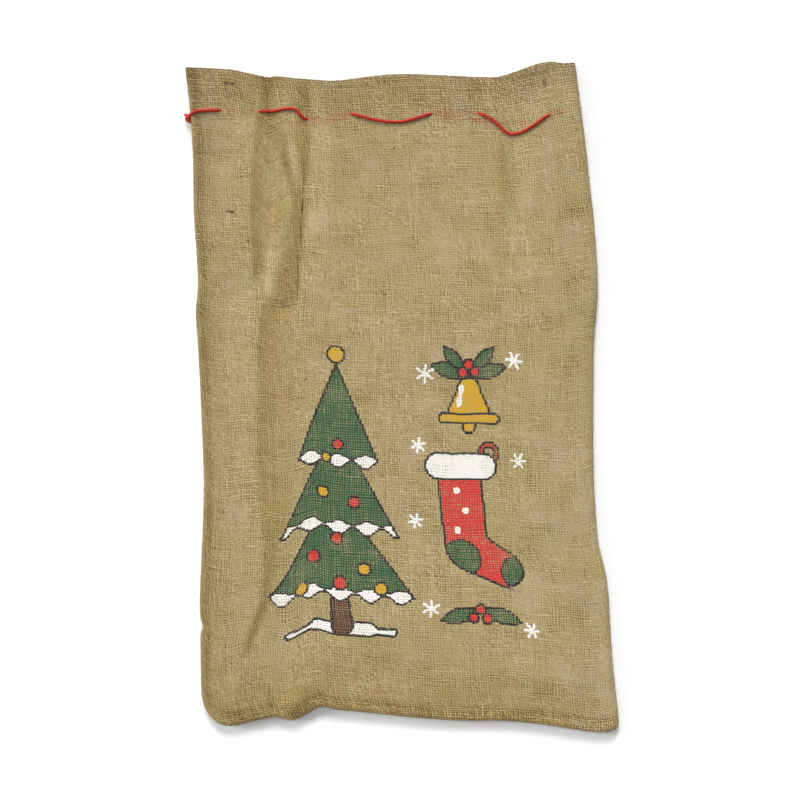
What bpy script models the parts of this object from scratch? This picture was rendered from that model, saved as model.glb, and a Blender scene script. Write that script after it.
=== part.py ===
"""Burlap drawstring bag lying flat: one length of cloth folded and sewn into a bag, and a red string laced
through both panels under the mouth, its ends knotted at the left edge.

Metres, +Z up. The bag lies on Z = 0 with its mouth towards +Y, and the origin is under the middle of its box.
Tables are in millimetres.
"""

import math

import bmesh
import bpy
import numpy as np

MM = 0.001

# Driving dimensions
CLOTH = 0.0012  # thickness of the woven cloth
BODY_GAP = 0.0110  # inside the bag, between the panels
EDGE_GAP = 0.0054  # inside the turned edges at the sides
FOOT_GAP = 0.0064  # inside the edge along the foot
CROWN = 0.058  # how far in from an edge the bag reaches its full gap
FOLD_TAPER = 0.016  # how far in from an edge the folds reach their full height
STRING_RADIUS = 0.00125
STRING_CLEAR = 0.0006  # between the string and the cloth that it lies along
HOLE_CLEAR = 0.0003  # around the string where it passes through the cloth
HOLE_REACH = 0.0052  # half the length over which the string changes sides
FLOOR_CLEAR = 0.0001

# The string lies under the mouth end and holds it up
MOUTH_LIFT = 0.0029
LIFT_STARTS, LIFT_FULL, LIFT_DROPS, LIFT_ENDS = 0.225, 0.266, 0.296, 0.326  # Y of each stage
RIM_LIFT = 0.0012

# Outline seen from above. Columns: x, y. Left and right run from the bottom corner up to the mouth.
LEFT_EDGE = (
    (-191.5, -319.0), (-196.5, -310.5), (-199.7, -297.0), (-200.6, -270.0), (-201.0, -248.0),
    (-200.8, -237.0), (-198.8, -229.5), (-201.0, -219.0), (-201.6, -203.0), (-200.6, -173.0),
    (-198.5, -128.0), (-197.5, -83.0), (-198.5, -53.0), (-201.0, 7.0), (-203.3, 52.0),
    (-205.6, 82.0), (-203.6, 112.0), (-204.5, 142.0), (-207.5, 187.0), (-208.5, 247.0),
    (-210.6, 280.0), (-213.2, 307.0), (-216.2, 329.0),
)
RIGHT_EDGE = (
    (215.5, -331.0), (217.0, -323.0), (213.8, -293.0), (209.6, -248.0), (205.8, -188.0),
    (199.6, -158.0), (196.4, -143.0), (192.8, -98.0), (191.6, -53.0), (191.8, 37.0),
    (193.0, 67.0), (195.6, 97.0), (195.6, 127.0), (192.6, 172.0), (187.6, 217.0),
    (184.4, 247.0), (180.6, 277.0), (176.6, 307.0), (173.6, 334.0),
)
BOTTOM_EDGE = (
    (-191.5, -319.0), (-184.5, -325.5), (-175.0, -328.6), (-165.5, -328.2), (-150.0, -324.4),
    (-135.0, -321.6), (-126.0, -319.6), (-119.0, -322.0), (-110.0, -323.0), (-101.0, -320.6),
    (-91.5, -315.2), (-83.0, -310.3), (-76.0, -309.6), (-66.0, -312.6), (-50.0, -314.0),
    (-20.0, -317.0), (20.0, -321.0), (60.0, -323.4), (100.0, -323.6), (135.0, -326.6),
    (165.0, -331.0), (190.0, -334.8), (207.0, -335.0), (215.5, -331.0),
)
FRONT_RIM = (
    (-216.2, 329.0), (-201.0, 328.2), (-171.0, 326.0), (-155.0, 322.6), (-139.0, 319.2),
    (-132.5, 317.6), (-127.5, 319.4), (-120.0, 319.0), (-104.0, 317.2), (-92.0, 316.6),
    (-72.0, 314.8), (-52.0, 315.4), (-22.0, 317.6), (9.0, 319.4), (39.0, 318.6),
    (70.0, 318.4), (92.0, 318.4), (100.0, 316.6), (115.0, 321.2), (127.0, 323.4),
    (137.0, 325.4), (148.0, 329.0), (157.0, 331.4), (173.6, 334.0),
)
BACK_RIM = (
    (-216.2, 329.0), (-201.0, 329.0), (-171.0, 327.2), (-155.0, 324.0), (-135.0, 319.8),
    (-112.0, 318.6), (-90.0, 316.4), (-62.0, 316.4), (-30.0, 320.6), (0.0, 322.8),
    (39.0, 321.6), (70.0, 320.0), (92.0, 319.4), (100.0, 320.8), (113.0, 324.8),
    (127.0, 329.8), (137.5, 333.4), (150.0, 335.2), (160.0, 333.8), (173.6, 334.0),
)

# Folds of the front panel. Each station: x, y, height, reach to the left and reach to the right of the fold's
# line, looking along it from its first station. SOFT folds are round on top, CREASED ones come to an edge.
SOFT, CREASED = "soft", "creased"
FOLDS = {
    "first_step": (CREASED, (
        (-139.0, 330.0, 1.6, 40, 16), (-140.0, 297.0, 1.8, 44, 16), (-145.5, 267.0, 2.2, 46, 17),
        (-149.0, 237.0, 2.4, 46, 18), (-150.0, 197.0, 2.4, 46, 18), (-149.0, 157.0, 2.2, 46, 16),
        (-147.0, 117.0, 1.4, 46, 14), (-146.0, 92.0, 0.0, 46, 12),
    )),
    "first_trough": (SOFT, (
        (-131.0, 326.0, -0.7, 10, 20), (-132.5, 297.0, -0.7, 10, 20), (-136.0, 267.0, -0.9, 12, 22),
        (-137.0, 237.0, -0.9, 13, 22), (-137.5, 197.0, -0.8, 13, 22), (-138.0, 157.0, -0.8, 12, 18),
        (-139.0, 117.0, -0.7, 12, 10), (-141.0, 92.0, 0.0, 12, 8),
    )),
    "main_ridge": (SOFT, (
        (-107.0, 326.0, 1.2, 24, 15), (-106.5, 287.0, 1.8, 27, 15), (-105.5, 257.0, 2.2, 28, 15),
        (-108.0, 220.0, 2.7, 29, 15), (-111.5, 187.0, 3.4, 28, 17), (-117.5, 157.0, 3.9, 24, 21),
        (-127.0, 117.0, 4.0, 20, 29), (-133.0, 98.0, 3.4, 26, 32), (-139.0, 84.0, 1.8, 40, 36),
        (-141.0, 58.0, 0.0, 48, 40),
    )),
    "right_crease": (CREASED, (
        (-92.5, 324.0, -2.6, 13, 18), (-92.5, 297.0, -2.4, 12, 20), (-93.0, 262.0, -2.0, 11, 24),
        (-93.5, 227.0, -2.1, 12, 26), (-95.5, 192.0, -2.1, 13, 26), (-99.5, 147.0, -1.7, 13, 24),
        (-103.0, 107.0, -1.2, 13, 22), (-106.0, 90.0, 0.0, 12, 18),
    )),
    "right_swell": (SOFT, (
        (-72.0, 326.0, 0.6, 26, 36), (-72.0, 250.0, 0.8, 27, 42), (-75.0, 190.0, 0.9, 27, 46),
        (-81.0, 130.0, 0.6, 26, 48), (-88.0, 90.0, 0.0, 24, 48),
    )),
    "small_trough": (SOFT, (
        (-132.0, 288.0, 0.0, 8, 7), (-124.5, 268.0, -2.1, 10, 10), (-115.0, 247.0, -3.0, 11, 9),
        (-107.5, 224.0, -2.9, 12, 8), (-101.0, 205.0, -1.6, 10, 7), (-98.0, 190.0, 0.0, 8, 6),
    )),
    "cross_step": (SOFT, (
        (-138.0, 88.0, 0.0, 6, 10), (-128.0, 88.0, -1.3, 8, 14), (-113.0, 88.0, -1.7, 8, 16),
        (-101.0, 87.0, -0.7, 9, 16), (-78.0, 87.5, -0.6, 10, 16), (-54.0, 86.5, 0.0, 9, 14),
    )),
    "long_lip": (CREASED, (
        (-138.0, 106.0, 0.0, 60, 26), (-141.0, 84.0, 3.0, 58, 34), (-143.0, 57.0, 4.2, 56, 42),
        (-144.0, 7.0, 4.6, 54, 44), (-144.5, -43.0, 4.2, 50, 44), (-143.0, -93.0, 3.9, 50, 42),
        (-139.0, -133.0, 3.8, 52, 32), (-137.5, -163.0, 3.6, 54, 25), (-140.0, -203.0, 3.2, 50, 18),
        (-147.0, -223.0, 2.6, 45, 16), (-154.5, -243.0, 2.0, 40, 16), (-163.0, -268.0, 0.0, 34, 14),
    )),
    "corner_crease": (CREASED, (
        (-127.0, -132.0, 0.0, 12, 12), (-127.5, -163.0, -0.7, 12, 12), (-131.0, -192.0, -1.1, 12, 13),
        (-138.0, -215.0, -1.3, 11, 12), (-148.0, -243.0, -1.1, 11, 12), (-156.0, -266.0, 0.0, 10, 10),
    )),
    "foot_pucker": (CREASED, (
        (-125.5, -325.0, -1.6, 9, 8), (-127.5, -304.0, -1.6, 9, 8), (-133.0, -288.0, 0.0, 9, 8),
    )),
    "foot_puff": (SOFT, (
        (-110.0, -322.0, 1.4, 14, 14), (-104.0, -300.0, 1.6, 16, 16), (-98.0, -276.0, 0.0, 16, 18),
    )),
    "foot_tuck": (SOFT, (
        (-80.0, -312.0, -1.2, 14, 16), (-70.0, -296.0, -1.0, 16, 18), (-50.0, -280.0, 0.0, 16, 18),
    )),
    "foot_roll": (SOFT, (
        (-90.0, -272.0, 0.0, 20, 22), (-40.0, -276.0, -0.9, 22, 20), (30.0, -273.0, -1.0, 22, 20),
        (90.0, -268.0, -0.7, 22, 20), (140.0, -262.0, 0.0, 22, 20),
    )),
    "right_hollow": (SOFT, (
        (104.0, 290.0, 0.0, 18, 20), (109.0, 255.0, -1.4, 20, 22), (112.0, 215.0, -1.8, 22, 22),
        (110.0, 175.0, -1.6, 22, 24), (106.0, 120.0, 0.0, 20, 24),
    )),
    "right_shoulder": (SOFT, (
        (126.0, 300.0, 0.0, 20, 30), (133.0, 262.0, 0.9, 20, 36), (135.0, 217.0, 0.8, 20, 36),
        (132.0, 150.0, 0.0, 20, 34),
    )),
    "corner_swell": (SOFT, (
        (120.0, -190.0, 0.0, 40, 40), (150.0, -235.0, 1.2, 42, 34), (172.0, -285.0, 1.0, 40, 26),
        (184.0, -318.0, 0.0, 34, 20),
    )),
}

# The string seen from above. Columns: x, y.
FRONT_STRING = (
    (-209.5, 283.6), (-203.5, 285.6), (-190.0, 286.2), (-176.0, 286.2), (-160.0, 285.4), (-144.0, 285.0),
    (-129.5, 285.0), (-120.7, 286.6), (-110.9, 287.8), (-105.2, 286.6), (-101.7, 282.6), (-98.3, 278.4),
    (-92.0, 277.0), (-72.0, 279.6), (-51.2, 282.3), (-35.7, 278.6), (-21.3, 275.5), (-7.0, 274.3),
    (4.5, 275.2), (16.0, 278.6), (31.5, 283.0), (46.0, 284.6), (62.0, 284.2), (75.7, 283.2),
    (84.3, 280.3), (92.4, 275.2), (99.9, 268.3), (105.0, 264.0), (110.5, 262.2), (120.7, 264.5),
    (132.2, 271.4), (140.8, 277.7), (148.3, 282.0), (158.0, 284.6), (166.0, 285.4),
)
BACK_STRING = (
    (166.0, 278.4), (158.0, 277.6), (146.0, 276.0), (122.0, 274.2), (98.0, 274.6), (72.0, 276.6),
    (44.0, 278.6), (14.0, 277.4), (-20.0, 277.0), (-52.0, 278.8), (-82.0, 274.4), (-112.0, 273.2),
    (-138.0, 276.0), (-162.0, 279.6), (-184.0, 279.4), (-202.0, 277.4), (-209.5, 277.6),
)
FRONT_HOLES = (-180.5, -143.5, -94.5, -51.5, 31.5, 75.5, 148.5)  # x of each, in the string's order
BACK_HOLES = (160.0, 134.0, 44.0, -52.0, -112.0, -162.0, -186.0)
STRING_TURN = 173.2  # x where it turns back inside the right edge
STRING_STEP = 0.0065  # between its points
FINE_STEP, FINE_REACH = 0.0022, 0.008  # the same beside its holes, turn and knot, and how far from them

# The knot, with the height as a third column
KNOT = (-214.6, 280.6, 5.6)
STRING_ENDS = ((-214.0, 282.4, 7.2), (-214.0, 278.8, 3.6))  # both ends of the long run, inside the knot
KNOT_TAILS = (
    ((-214.0, 279.5, 4.6), (-213.7, 277.2, 3.4), (-213.2, 275.0, 2.2)),
    ((-215.4, 279.8, 5.2), (-216.0, 277.6, 3.8), (-215.9, 276.0, 2.4)),
)
TAIL_RADIUS = 0.00121
TURN_RADIUS = 0.0021
# Its turns. Columns: degrees about X, Y and Z, radius of the string there.
KNOT_TURNS = ((12, 0, 0, 0.00128), (70, 68, 25, 0.00124), (128, 136, 50, 0.00120))

# Waves over cloth that was never ironed. Columns: radians per metre along x and y, starting angle.
RIPPLES = ((31, 9, 0.6), (17, -23, 2.1), (12, 38, 4.0))
RIPPLE_HEIGHT = 0.00025

# Grid over the bag. Columns: span's end as a share of the side, number of faces in it.
ACROSS = ((0.0068, 3), (0.1000, 3), (0.3050, 16), (0.9000, 13), (0.9932, 3), (1.0, 3))
ALONG = ((0.0045, 3), (0.0450, 3), (0.9000, 25), (1.0, 8))


def smooth(share):
    share = np.clip(share, 0.0, 1.0)
    return share * share * (3.0 - 2.0 * share)


def crowned(share):
    """Rises steeply at 0 and flattens out towards 1."""
    return np.sin(np.clip(share, 0.0, 1.0) * math.pi / 2)


def curve_through(rows, step=0.0015):
    """Rows of a table, in mm, as a smooth line of points about a step apart, in metres."""
    rows = np.array(rows, float) * MM
    ends = np.vstack([2 * rows[0] - rows[1], rows, 2 * rows[-1] - rows[-2]])
    line = []
    for before, start, stop, after in zip(ends[:-3], ends[1:-2], ends[2:-1], ends[3:]):
        count = max(2, int(math.ceil(np.linalg.norm(stop[:2] - start[:2]) / step)))
        t = np.arange(count)[:, None] / count
        line.append(0.5 * (
            2 * start + (stop - before) * t
            + (2 * before - 5 * start + 4 * stop - after) * t ** 2
            + (3 * start - before - 3 * stop + after) * t ** 3
        ))
    return np.vstack(line + [rows[-1:]])


def along(line, shares):
    """Points at these shares of the line's length."""
    steps = np.linalg.norm(np.diff(line[:, :2], axis=0), axis=1)
    length = np.concatenate([[0.0], np.cumsum(steps)])
    return np.stack([np.interp(shares * length[-1], length, column) for column in line.T], axis=-1)


def spans(table):
    """Shares from 0 to 1, evenly spaced within each span, the end ones closing in on the edge."""
    shares = [0.0]
    for stop, count in table:
        start = shares[-1]
        shares += [start + (stop - start) * (k + 1) / count for k in range(count)]
    return np.array(shares)


def rounded_spans(table, last_too):
    """As spans, with the faces beside a turned edge spaced as round a quarter circle."""
    shares = spans(table)
    count = table[0][1]
    angles = np.arange(count + 1) / count * math.pi / 2
    shares[:count + 1] = table[0][0] * (1 - np.cos(angles))
    if last_too:
        count = table[-1][1]
        start = table[-2][0]
        angles = np.arange(count + 1) / count * math.pi / 2
        shares[-count - 1:] = start + (1 - start) * np.sin(angles)
    return shares


def patch(rim):
    """Grid of points in plan between the three closed edges and this rim."""
    u = rounded_spans(ACROSS, True)
    v = rounded_spans(ALONG, False)
    left, right = along(curve_through(LEFT_EDGE), v), along(curve_through(RIGHT_EDGE), v)
    bottom, top = along(curve_through(BOTTOM_EDGE), u), along(curve_through(rim), u)
    u, v = u[None, :, None], v[:, None, None]
    corners = (
        (1 - u) * (1 - v) * bottom[0] + u * (1 - v) * bottom[-1] + (1 - u) * v * top[0] + u * v * top[-1]
    )
    return (1 - v) * bottom[None] + v * top[None] + (1 - u) * left[:, None] + u * right[:, None] - corners


def nearest_on(line, points):
    """For each point, the index of the line's nearest point and how far off that is."""
    gaps = np.linalg.norm(points[:, None, :2] - line[None, :, :2], axis=2)
    index = gaps.argmin(axis=1)
    return index, gaps[np.arange(len(points)), index]


def insets(points):
    """Distance in from the nearest side and from the foot."""
    found = []
    for rows in (LEFT_EDGE, RIGHT_EDGE, BOTTOM_EDGE):
        line = curve_through(rows)
        start, run = line[None, :-1], np.diff(line, axis=0)[None]
        off = points[:, None, :2] - start
        share = np.clip((off * run).sum(axis=2) / (run ** 2).sum(axis=2), 0.0, 1.0)
        found.append(np.linalg.norm(off - share[..., None] * run, axis=2).min(axis=1))
    left, right, foot = found
    return np.minimum(left, right), foot


def fold_heights(points):
    """How far the folds raise or lower the front panel."""
    total = np.zeros(len(points))
    for kind, stations in FOLDS.values():
        line = curve_through(stations, 0.002)
        index, gap = nearest_on(line, points)
        ahead = np.gradient(line[:, :2], axis=0)[index]
        off = points[:, :2] - line[index, :2]
        on_left = ahead[:, 0] * off[:, 1] - ahead[:, 1] * off[:, 0] > 0
        reach = np.maximum(np.where(on_left, line[index, 4], line[index, 3]), 0.003)
        share = np.clip(1 - gap / reach, 0.0, 1.0)
        total += line[index, 2] * (share ** 2 if kind == CREASED else smooth(share))
    return total


def ripple(points):
    """Slight unevenness of cloth that was never ironed."""
    return RIPPLE_HEIGHT * sum(np.sin(a * points[:, 0] + b * points[:, 1] + start) for a, b, start in RIPPLES)


def lift(points):
    """Height of the back panel's underside above the floor, away from the turned edges."""
    y = points[:, 1]
    rise = smooth((y - LIFT_STARTS) / (LIFT_FULL - LIFT_STARTS))
    drop = smooth((y - LIFT_DROPS) / (LIFT_ENDS - LIFT_DROPS))
    return MOUTH_LIFT * rise - (MOUTH_LIFT - RIM_LIFT) * drop


def thickness(points, sides, foot):
    """From the underside of the back panel to the top of the front panel."""
    edge_gap = EDGE_GAP + (FOOT_GAP - EDGE_GAP) * smooth(1 - foot / CROWN)
    full_gap = BODY_GAP - lift(points)
    gap = edge_gap + (full_gap - edge_gap) * crowned(sides / CROWN) * crowned(foot / CROWN)
    folds = (fold_heights(points) + ripple(points)) * smooth(np.minimum(sides, foot) / FOLD_TAPER)
    return 2 * CLOTH + gap + folds


def outer_heights(points):
    """Z of the outer surface of the back and of the front panel, rounded into each other at the edges."""
    sides, foot = insets(points)
    total = thickness(points, sides, foot)
    half = total / 2
    tuck = np.clip(1 - np.minimum(sides, foot) / half, 0.0, 1.0)
    bend = half * (1 - np.sqrt(1 - tuck ** 2))
    low = lift(points)
    return low + bend, low + total - bend


def new_object(name, mesh, collection):
    thing = bpy.data.objects.new(name, mesh)
    collection.objects.link(thing)
    return thing


def finish_material(name, colour, roughness):
    material = bpy.data.materials.new(name)
    material.use_nodes = True
    shader = material.node_tree.nodes["Principled BSDF"]
    shader.inputs["Base Color"].default_value = (*colour, 1.0)
    shader.inputs["Roughness"].default_value = roughness
    shader.inputs["Metallic"].default_value = 0.0
    return material


def make_bag(collection):
    """Both panels as one lofted sheet, joined along three edges and open at the mouth."""
    front, back = patch(FRONT_RIM), patch(BACK_RIM)
    rows, columns = front.shape[:2]
    sheets = []
    for plan, side in ((front, 1), (back, 0)):
        flat = plan.reshape(-1, 2)
        heights = outer_heights(flat)[side]
        sheets.append(np.column_stack([flat, heights]).reshape(rows, columns, 3))
    bm = bmesh.new()
    for sheet, upwards in zip(sheets, (True, False)):
        verts = [[bm.verts.new(point) for point in row] for row in sheet]
        for j in range(rows - 1):
            for i in range(columns - 1):
                corners = [verts[j][i], verts[j][i + 1], verts[j + 1][i + 1], verts[j + 1][i]]
                bm.faces.new(corners if upwards else corners[::-1])
    bmesh.ops.remove_doubles(bm, verts=bm.verts, dist=1e-6)
    mesh = bpy.data.meshes.new("bag")
    bm.to_mesh(mesh)
    bm.free()
    mesh.shade_smooth()
    bag = new_object("bag", mesh, collection)
    wall = bag.modifiers.new("cloth", "SOLIDIFY")
    wall.thickness = CLOTH
    wall.offset = -1.0
    wall.use_rim = True
    return bag


def side_of(x, holes, starts_outside):
    """1 where the string is outside the cloth and -1 where it is inside, turning over at each hole."""
    side = np.full(len(x), 1.0 if starts_outside else -1.0)
    travel = 1.0 if holes[-1] > holes[0] else -1.0
    for k, hole in enumerate(holes):
        passed = smooth((travel * (x - hole * MM) + HOLE_REACH) / (2 * HOLE_REACH))
        turn = -2.0 if (k % 2 == 0) == starts_outside else 2.0
        side += turn * passed
    return side


def string_route():
    """The string's centre line from the knot along the front, round inside the right edge and back."""
    front, back = curve_through(FRONT_STRING, 0.001), curve_through(BACK_STRING, 0.001)
    away = CLOTH / 2 + STRING_CLEAR + STRING_RADIUS
    front_heights = outer_heights(front)[1] - CLOTH / 2
    front_side = side_of(front[:, 0], FRONT_HOLES, True)
    back_heights = outer_heights(back)[0] + CLOTH / 2
    back_side = side_of(back[:, 0], BACK_HOLES, False)
    front = np.column_stack([front, front_heights + away * front_side])
    back = np.column_stack([back, back_heights - away * back_side])
    back[:, 2] = np.maximum(back[:, 2], STRING_RADIUS + FLOOR_CLEAR)
    bulge = STRING_TURN * MM - front[-1, 0]
    turn = []
    for degrees in (75, 45, 15, -15, -45, -75):
        angle = math.radians(degrees)
        across = back[0, 1:] + (front[-1, 1:] - back[0, 1:]) * (1 + math.sin(angle)) / 2
        turn.append((front[-1, 0] + bulge * math.cos(angle), *across))
    ends = np.array(STRING_ENDS) * MM
    return np.vstack([ends[:1], front, turn, back, ends[1:]])


def thinned(route):
    """The route with fewer points, close together only where it bends."""
    bends = np.array([KNOT[0], STRING_TURN, *FRONT_HOLES, *BACK_HOLES]) * MM
    kept, run = [route[0]], 0.0
    for before, point in zip(route[:-1], route[1:]):
        run += np.linalg.norm(point - before)
        close = np.abs(point[0] - bends).min() < FINE_REACH
        if run >= (FINE_STEP if close else STRING_STEP):
            kept.append(point)
            run = 0.0
    kept[-1] = route[-1]
    return np.array(kept)


def relaxed(route, rounds):
    """The route with its corners eased, ends fixed."""
    for _ in range(rounds):
        route[1:-1] = 0.25 * route[:-2] + 0.5 * route[1:-1] + 0.25 * route[2:]
    return route


def tube(name, points, radius, collection):
    """A closed round tube along these points, as a mesh."""
    data = bpy.data.curves.new(name, "CURVE")
    data.dimensions = "3D"
    data.bevel_depth = radius
    data.bevel_resolution = 2
    data.use_fill_caps = True
    spline = data.splines.new("POLY")
    spline.points.add(len(points) - 1)
    for slot, point in zip(spline.points, points):
        slot.co = (*point, 1.0)
    curve = new_object(name, data, collection)
    bpy.context.view_layer.update()
    graph = bpy.context.evaluated_depsgraph_get()
    mesh = bpy.data.meshes.new_from_object(curve.evaluated_get(graph))
    place = curve.matrix_world.copy()
    bpy.data.objects.remove(curve)
    bm = bmesh.new()
    bm.from_mesh(mesh)
    bmesh.ops.remove_doubles(bm, verts=bm.verts, dist=1e-6)
    bmesh.ops.recalc_face_normals(bm, faces=bm.faces)
    bm.to_mesh(mesh)
    bm.free()
    mesh.name = name
    mesh.shade_smooth()
    thing = new_object(name, mesh, collection)
    thing.matrix_world = place
    return thing


def as_helper(thing):
    thing.hide_render = True
    thing.display_type = "WIRE"
    return thing


def combine(thing, other, operation):
    step = thing.modifiers.new(other.name, "BOOLEAN")
    step.operation = operation
    step.solver = "EXACT"
    step.object = other


def make_knot_pieces(helpers):
    """The turns and tails of the knot, to be joined to the string."""
    pieces = []
    for k, (about_x, about_y, about_z, radius) in enumerate(KNOT_TURNS):
        bpy.ops.mesh.primitive_torus_add(
            major_radius=TURN_RADIUS, minor_radius=radius, major_segments=16, minor_segments=8,
            location=[value * MM for value in KNOT],
            rotation=(math.radians(about_x), math.radians(about_y), math.radians(about_z)),
        )
        turn = bpy.context.object
        turn.name = f"knot_turn_{k + 1}"
        for owner in list(turn.users_collection):
            owner.objects.unlink(turn)
        helpers.objects.link(turn)
        pieces.append(turn)
    for k, tail in enumerate(KNOT_TAILS):
        points = curve_through(tail, 0.001)[::2]
        pieces.append(tube(f"knot_tail_{k + 1}", points, TAIL_RADIUS, helpers))
    return [as_helper(piece) for piece in pieces]


def centre_on_floor(parts, helpers):
    """Moves everything so that the origin lies under the middle of the parts' box."""
    bpy.context.view_layer.update()
    graph = bpy.context.evaluated_depsgraph_get()
    corners = []
    for thing in parts.objects:
        mesh = thing.evaluated_get(graph).data
        points = np.empty(len(mesh.vertices) * 3)
        mesh.vertices.foreach_get("co", points)
        points = points.reshape(-1, 3)
        corners += [points.min(axis=0), points.max(axis=0)]
    low, high = np.min(corners, axis=0), np.max(corners, axis=0)
    for thing in [*parts.objects, *helpers.objects]:
        thing.location.x -= (low[0] + high[0]) / 2
        thing.location.y -= (low[1] + high[1]) / 2
        thing.location.z -= low[2]


def main():
    for thing in list(bpy.data.objects):
        bpy.data.objects.remove(thing)
    parts = bpy.data.collections.new("burlap_bag")
    helpers = bpy.data.collections.new("cutters")
    bpy.context.scene.collection.children.link(parts)
    bpy.context.scene.collection.children.link(helpers)

    bag = make_bag(parts)
    bag.data.materials.append(finish_material("burlap", (0.40, 0.31, 0.15), 0.95))

    points = thinned(relaxed(string_route(), 3))
    string = tube("drawstring", points, STRING_RADIUS, parts)
    channel = as_helper(tube("string_channel", points, STRING_RADIUS + HOLE_CLEAR, helpers))
    combine(bag, channel, "DIFFERENCE")
    for piece in make_knot_pieces(helpers):
        combine(string, piece, "UNION")
    string.data.materials.append(finish_material("red_string", (0.58, 0.03, 0.025), 0.7))
    centre_on_floor(parts, helpers)


main()
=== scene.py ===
import math
import bpy
import numpy as np
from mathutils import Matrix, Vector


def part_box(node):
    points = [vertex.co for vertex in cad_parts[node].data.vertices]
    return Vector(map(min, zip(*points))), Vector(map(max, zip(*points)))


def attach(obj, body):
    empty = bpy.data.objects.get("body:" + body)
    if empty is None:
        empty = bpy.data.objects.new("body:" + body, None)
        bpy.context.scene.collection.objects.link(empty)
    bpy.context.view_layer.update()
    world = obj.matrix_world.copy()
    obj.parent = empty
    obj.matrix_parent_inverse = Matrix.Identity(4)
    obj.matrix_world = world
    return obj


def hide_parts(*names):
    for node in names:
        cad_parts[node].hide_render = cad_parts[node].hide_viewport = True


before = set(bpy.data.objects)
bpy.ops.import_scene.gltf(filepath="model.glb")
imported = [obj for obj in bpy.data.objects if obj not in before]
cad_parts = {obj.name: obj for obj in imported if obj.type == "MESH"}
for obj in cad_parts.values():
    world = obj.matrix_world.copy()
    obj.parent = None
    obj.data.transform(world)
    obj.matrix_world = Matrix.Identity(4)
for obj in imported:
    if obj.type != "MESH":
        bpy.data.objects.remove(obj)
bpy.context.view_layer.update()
mm = 0.001
soft, creased = "soft", "creased"
print("frame loaded")


class Flow:  # a value in a material's nodes, ready for sums
    def __init__(self, tree, socket=None):
        self.tree, self.socket = tree, socket

    def node(self, kind, settings, values, output=0):
        made = self.tree.nodes.new("ShaderNode" + kind)
        for name, setting in settings.items():
            if name == "stops":
                for k, (place, colour) in enumerate(setting):
                    stops = made.color_ramp.elements
                    stop = stops[k] if k < 2 else stops.new(place)
                    stop.position, stop.color = place, (*colour, 1.0)
            else:
                setattr(made, name, setting)
        for name, value in values.items():
            if isinstance(value, Flow):
                self.tree.links.new(value.socket, made.inputs[name])
            else:
                made.inputs[name].default_value = value
        return Flow(self.tree, made.outputs[output])

    def math(self, operation, *others):
        return self.node("Math", {"operation": operation}, dict(enumerate((self, *others))))

    def vector(self, operation, *others, output=0):
        return self.node("VectorMath", {"operation": operation}, dict(enumerate((self, *others))), output)

    def __add__(self, other):
        return self.math("ADD", other)

    def __sub__(self, other):
        return self.math("SUBTRACT", other)

    def __rsub__(self, other):
        return self.node("Math", {"operation": "SUBTRACT"}, {0: other, 1: self})

    def __mul__(self, other):
        return self.math("MULTIPLY", other)

    def __truediv__(self, other):
        return self.math("DIVIDE", other)

    def __abs__(self):
        return self.math("ABSOLUTE")

    __radd__ = __add__
    __rmul__ = __mul__

    def plus(self, other):  # sum of two vectors
        return self.vector("ADD", other)

    def scaled(self, factor):  # vector or colour times a number
        return self.node("VectorMath", {"operation": "SCALE"}, {0: self, 3: factor})

    def centred(self):  # noise as steps to either side of nothing
        return self.vector("SUBTRACT", (0.5, 0.5, 0.5))

    def length(self):
        return self.vector("LENGTH", output=1)

    def apart(self):
        made = self.node("SeparateXYZ", {}, {0: self})
        return [Flow(self.tree, made.socket.node.outputs[k]) for k in range(3)]

    def together(self, x, y, z=0.0):
        return self.node("CombineXYZ", {}, {0: x, 1: y, 2: z})

    def ease(self, low, high):  # 0 at low, 1 at high, smooth between
        return self.node("MapRange", {"interpolation_type": "SMOOTHSTEP"},
                         {"Value": self, "From Min": low, "From Max": high})

    def noise(self, scale, detail=2.0, output=0, dimensions="3D"):
        return self.node("TexNoise", {"noise_dimensions": dimensions},
                         {"Vector": self, "Scale": scale, "Detail": detail}, output)

    def chance(self):  # a random number for each whole place
        return self.node("TexWhiteNoise", {"noise_dimensions": "2D"}, {"Vector": self})

    def mix(self, first, second, way="MIX"):  # self is the share of the second colour
        return self.node("Mix", {"data_type": "RGBA", "blend_type": way}, {0: self, 6: first, 7: second}, 2)


def newMaterial(name, roughness, colour):
    material = bpy.data.materials.new(name)
    material.use_nodes = True
    material.diffuse_color = (*colour, 1.0)
    shader = material.node_tree.nodes["Principled BSDF"]
    shader.inputs["Roughness"].default_value = roughness
    shader.inputs["Base Color"].default_value = (*colour, 1.0)
    return material, Flow(material.node_tree), shader


def plug(flow, shader, name):
    flow.tree.links.new(flow.socket, shader.inputs[name])


def raised(height, shader, strength, depth):  # height as a bump
    bump = height.node("Bump", {}, {"Strength": strength, "Distance": depth, "Height": height})
    plug(bump, shader, "Normal")


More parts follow.
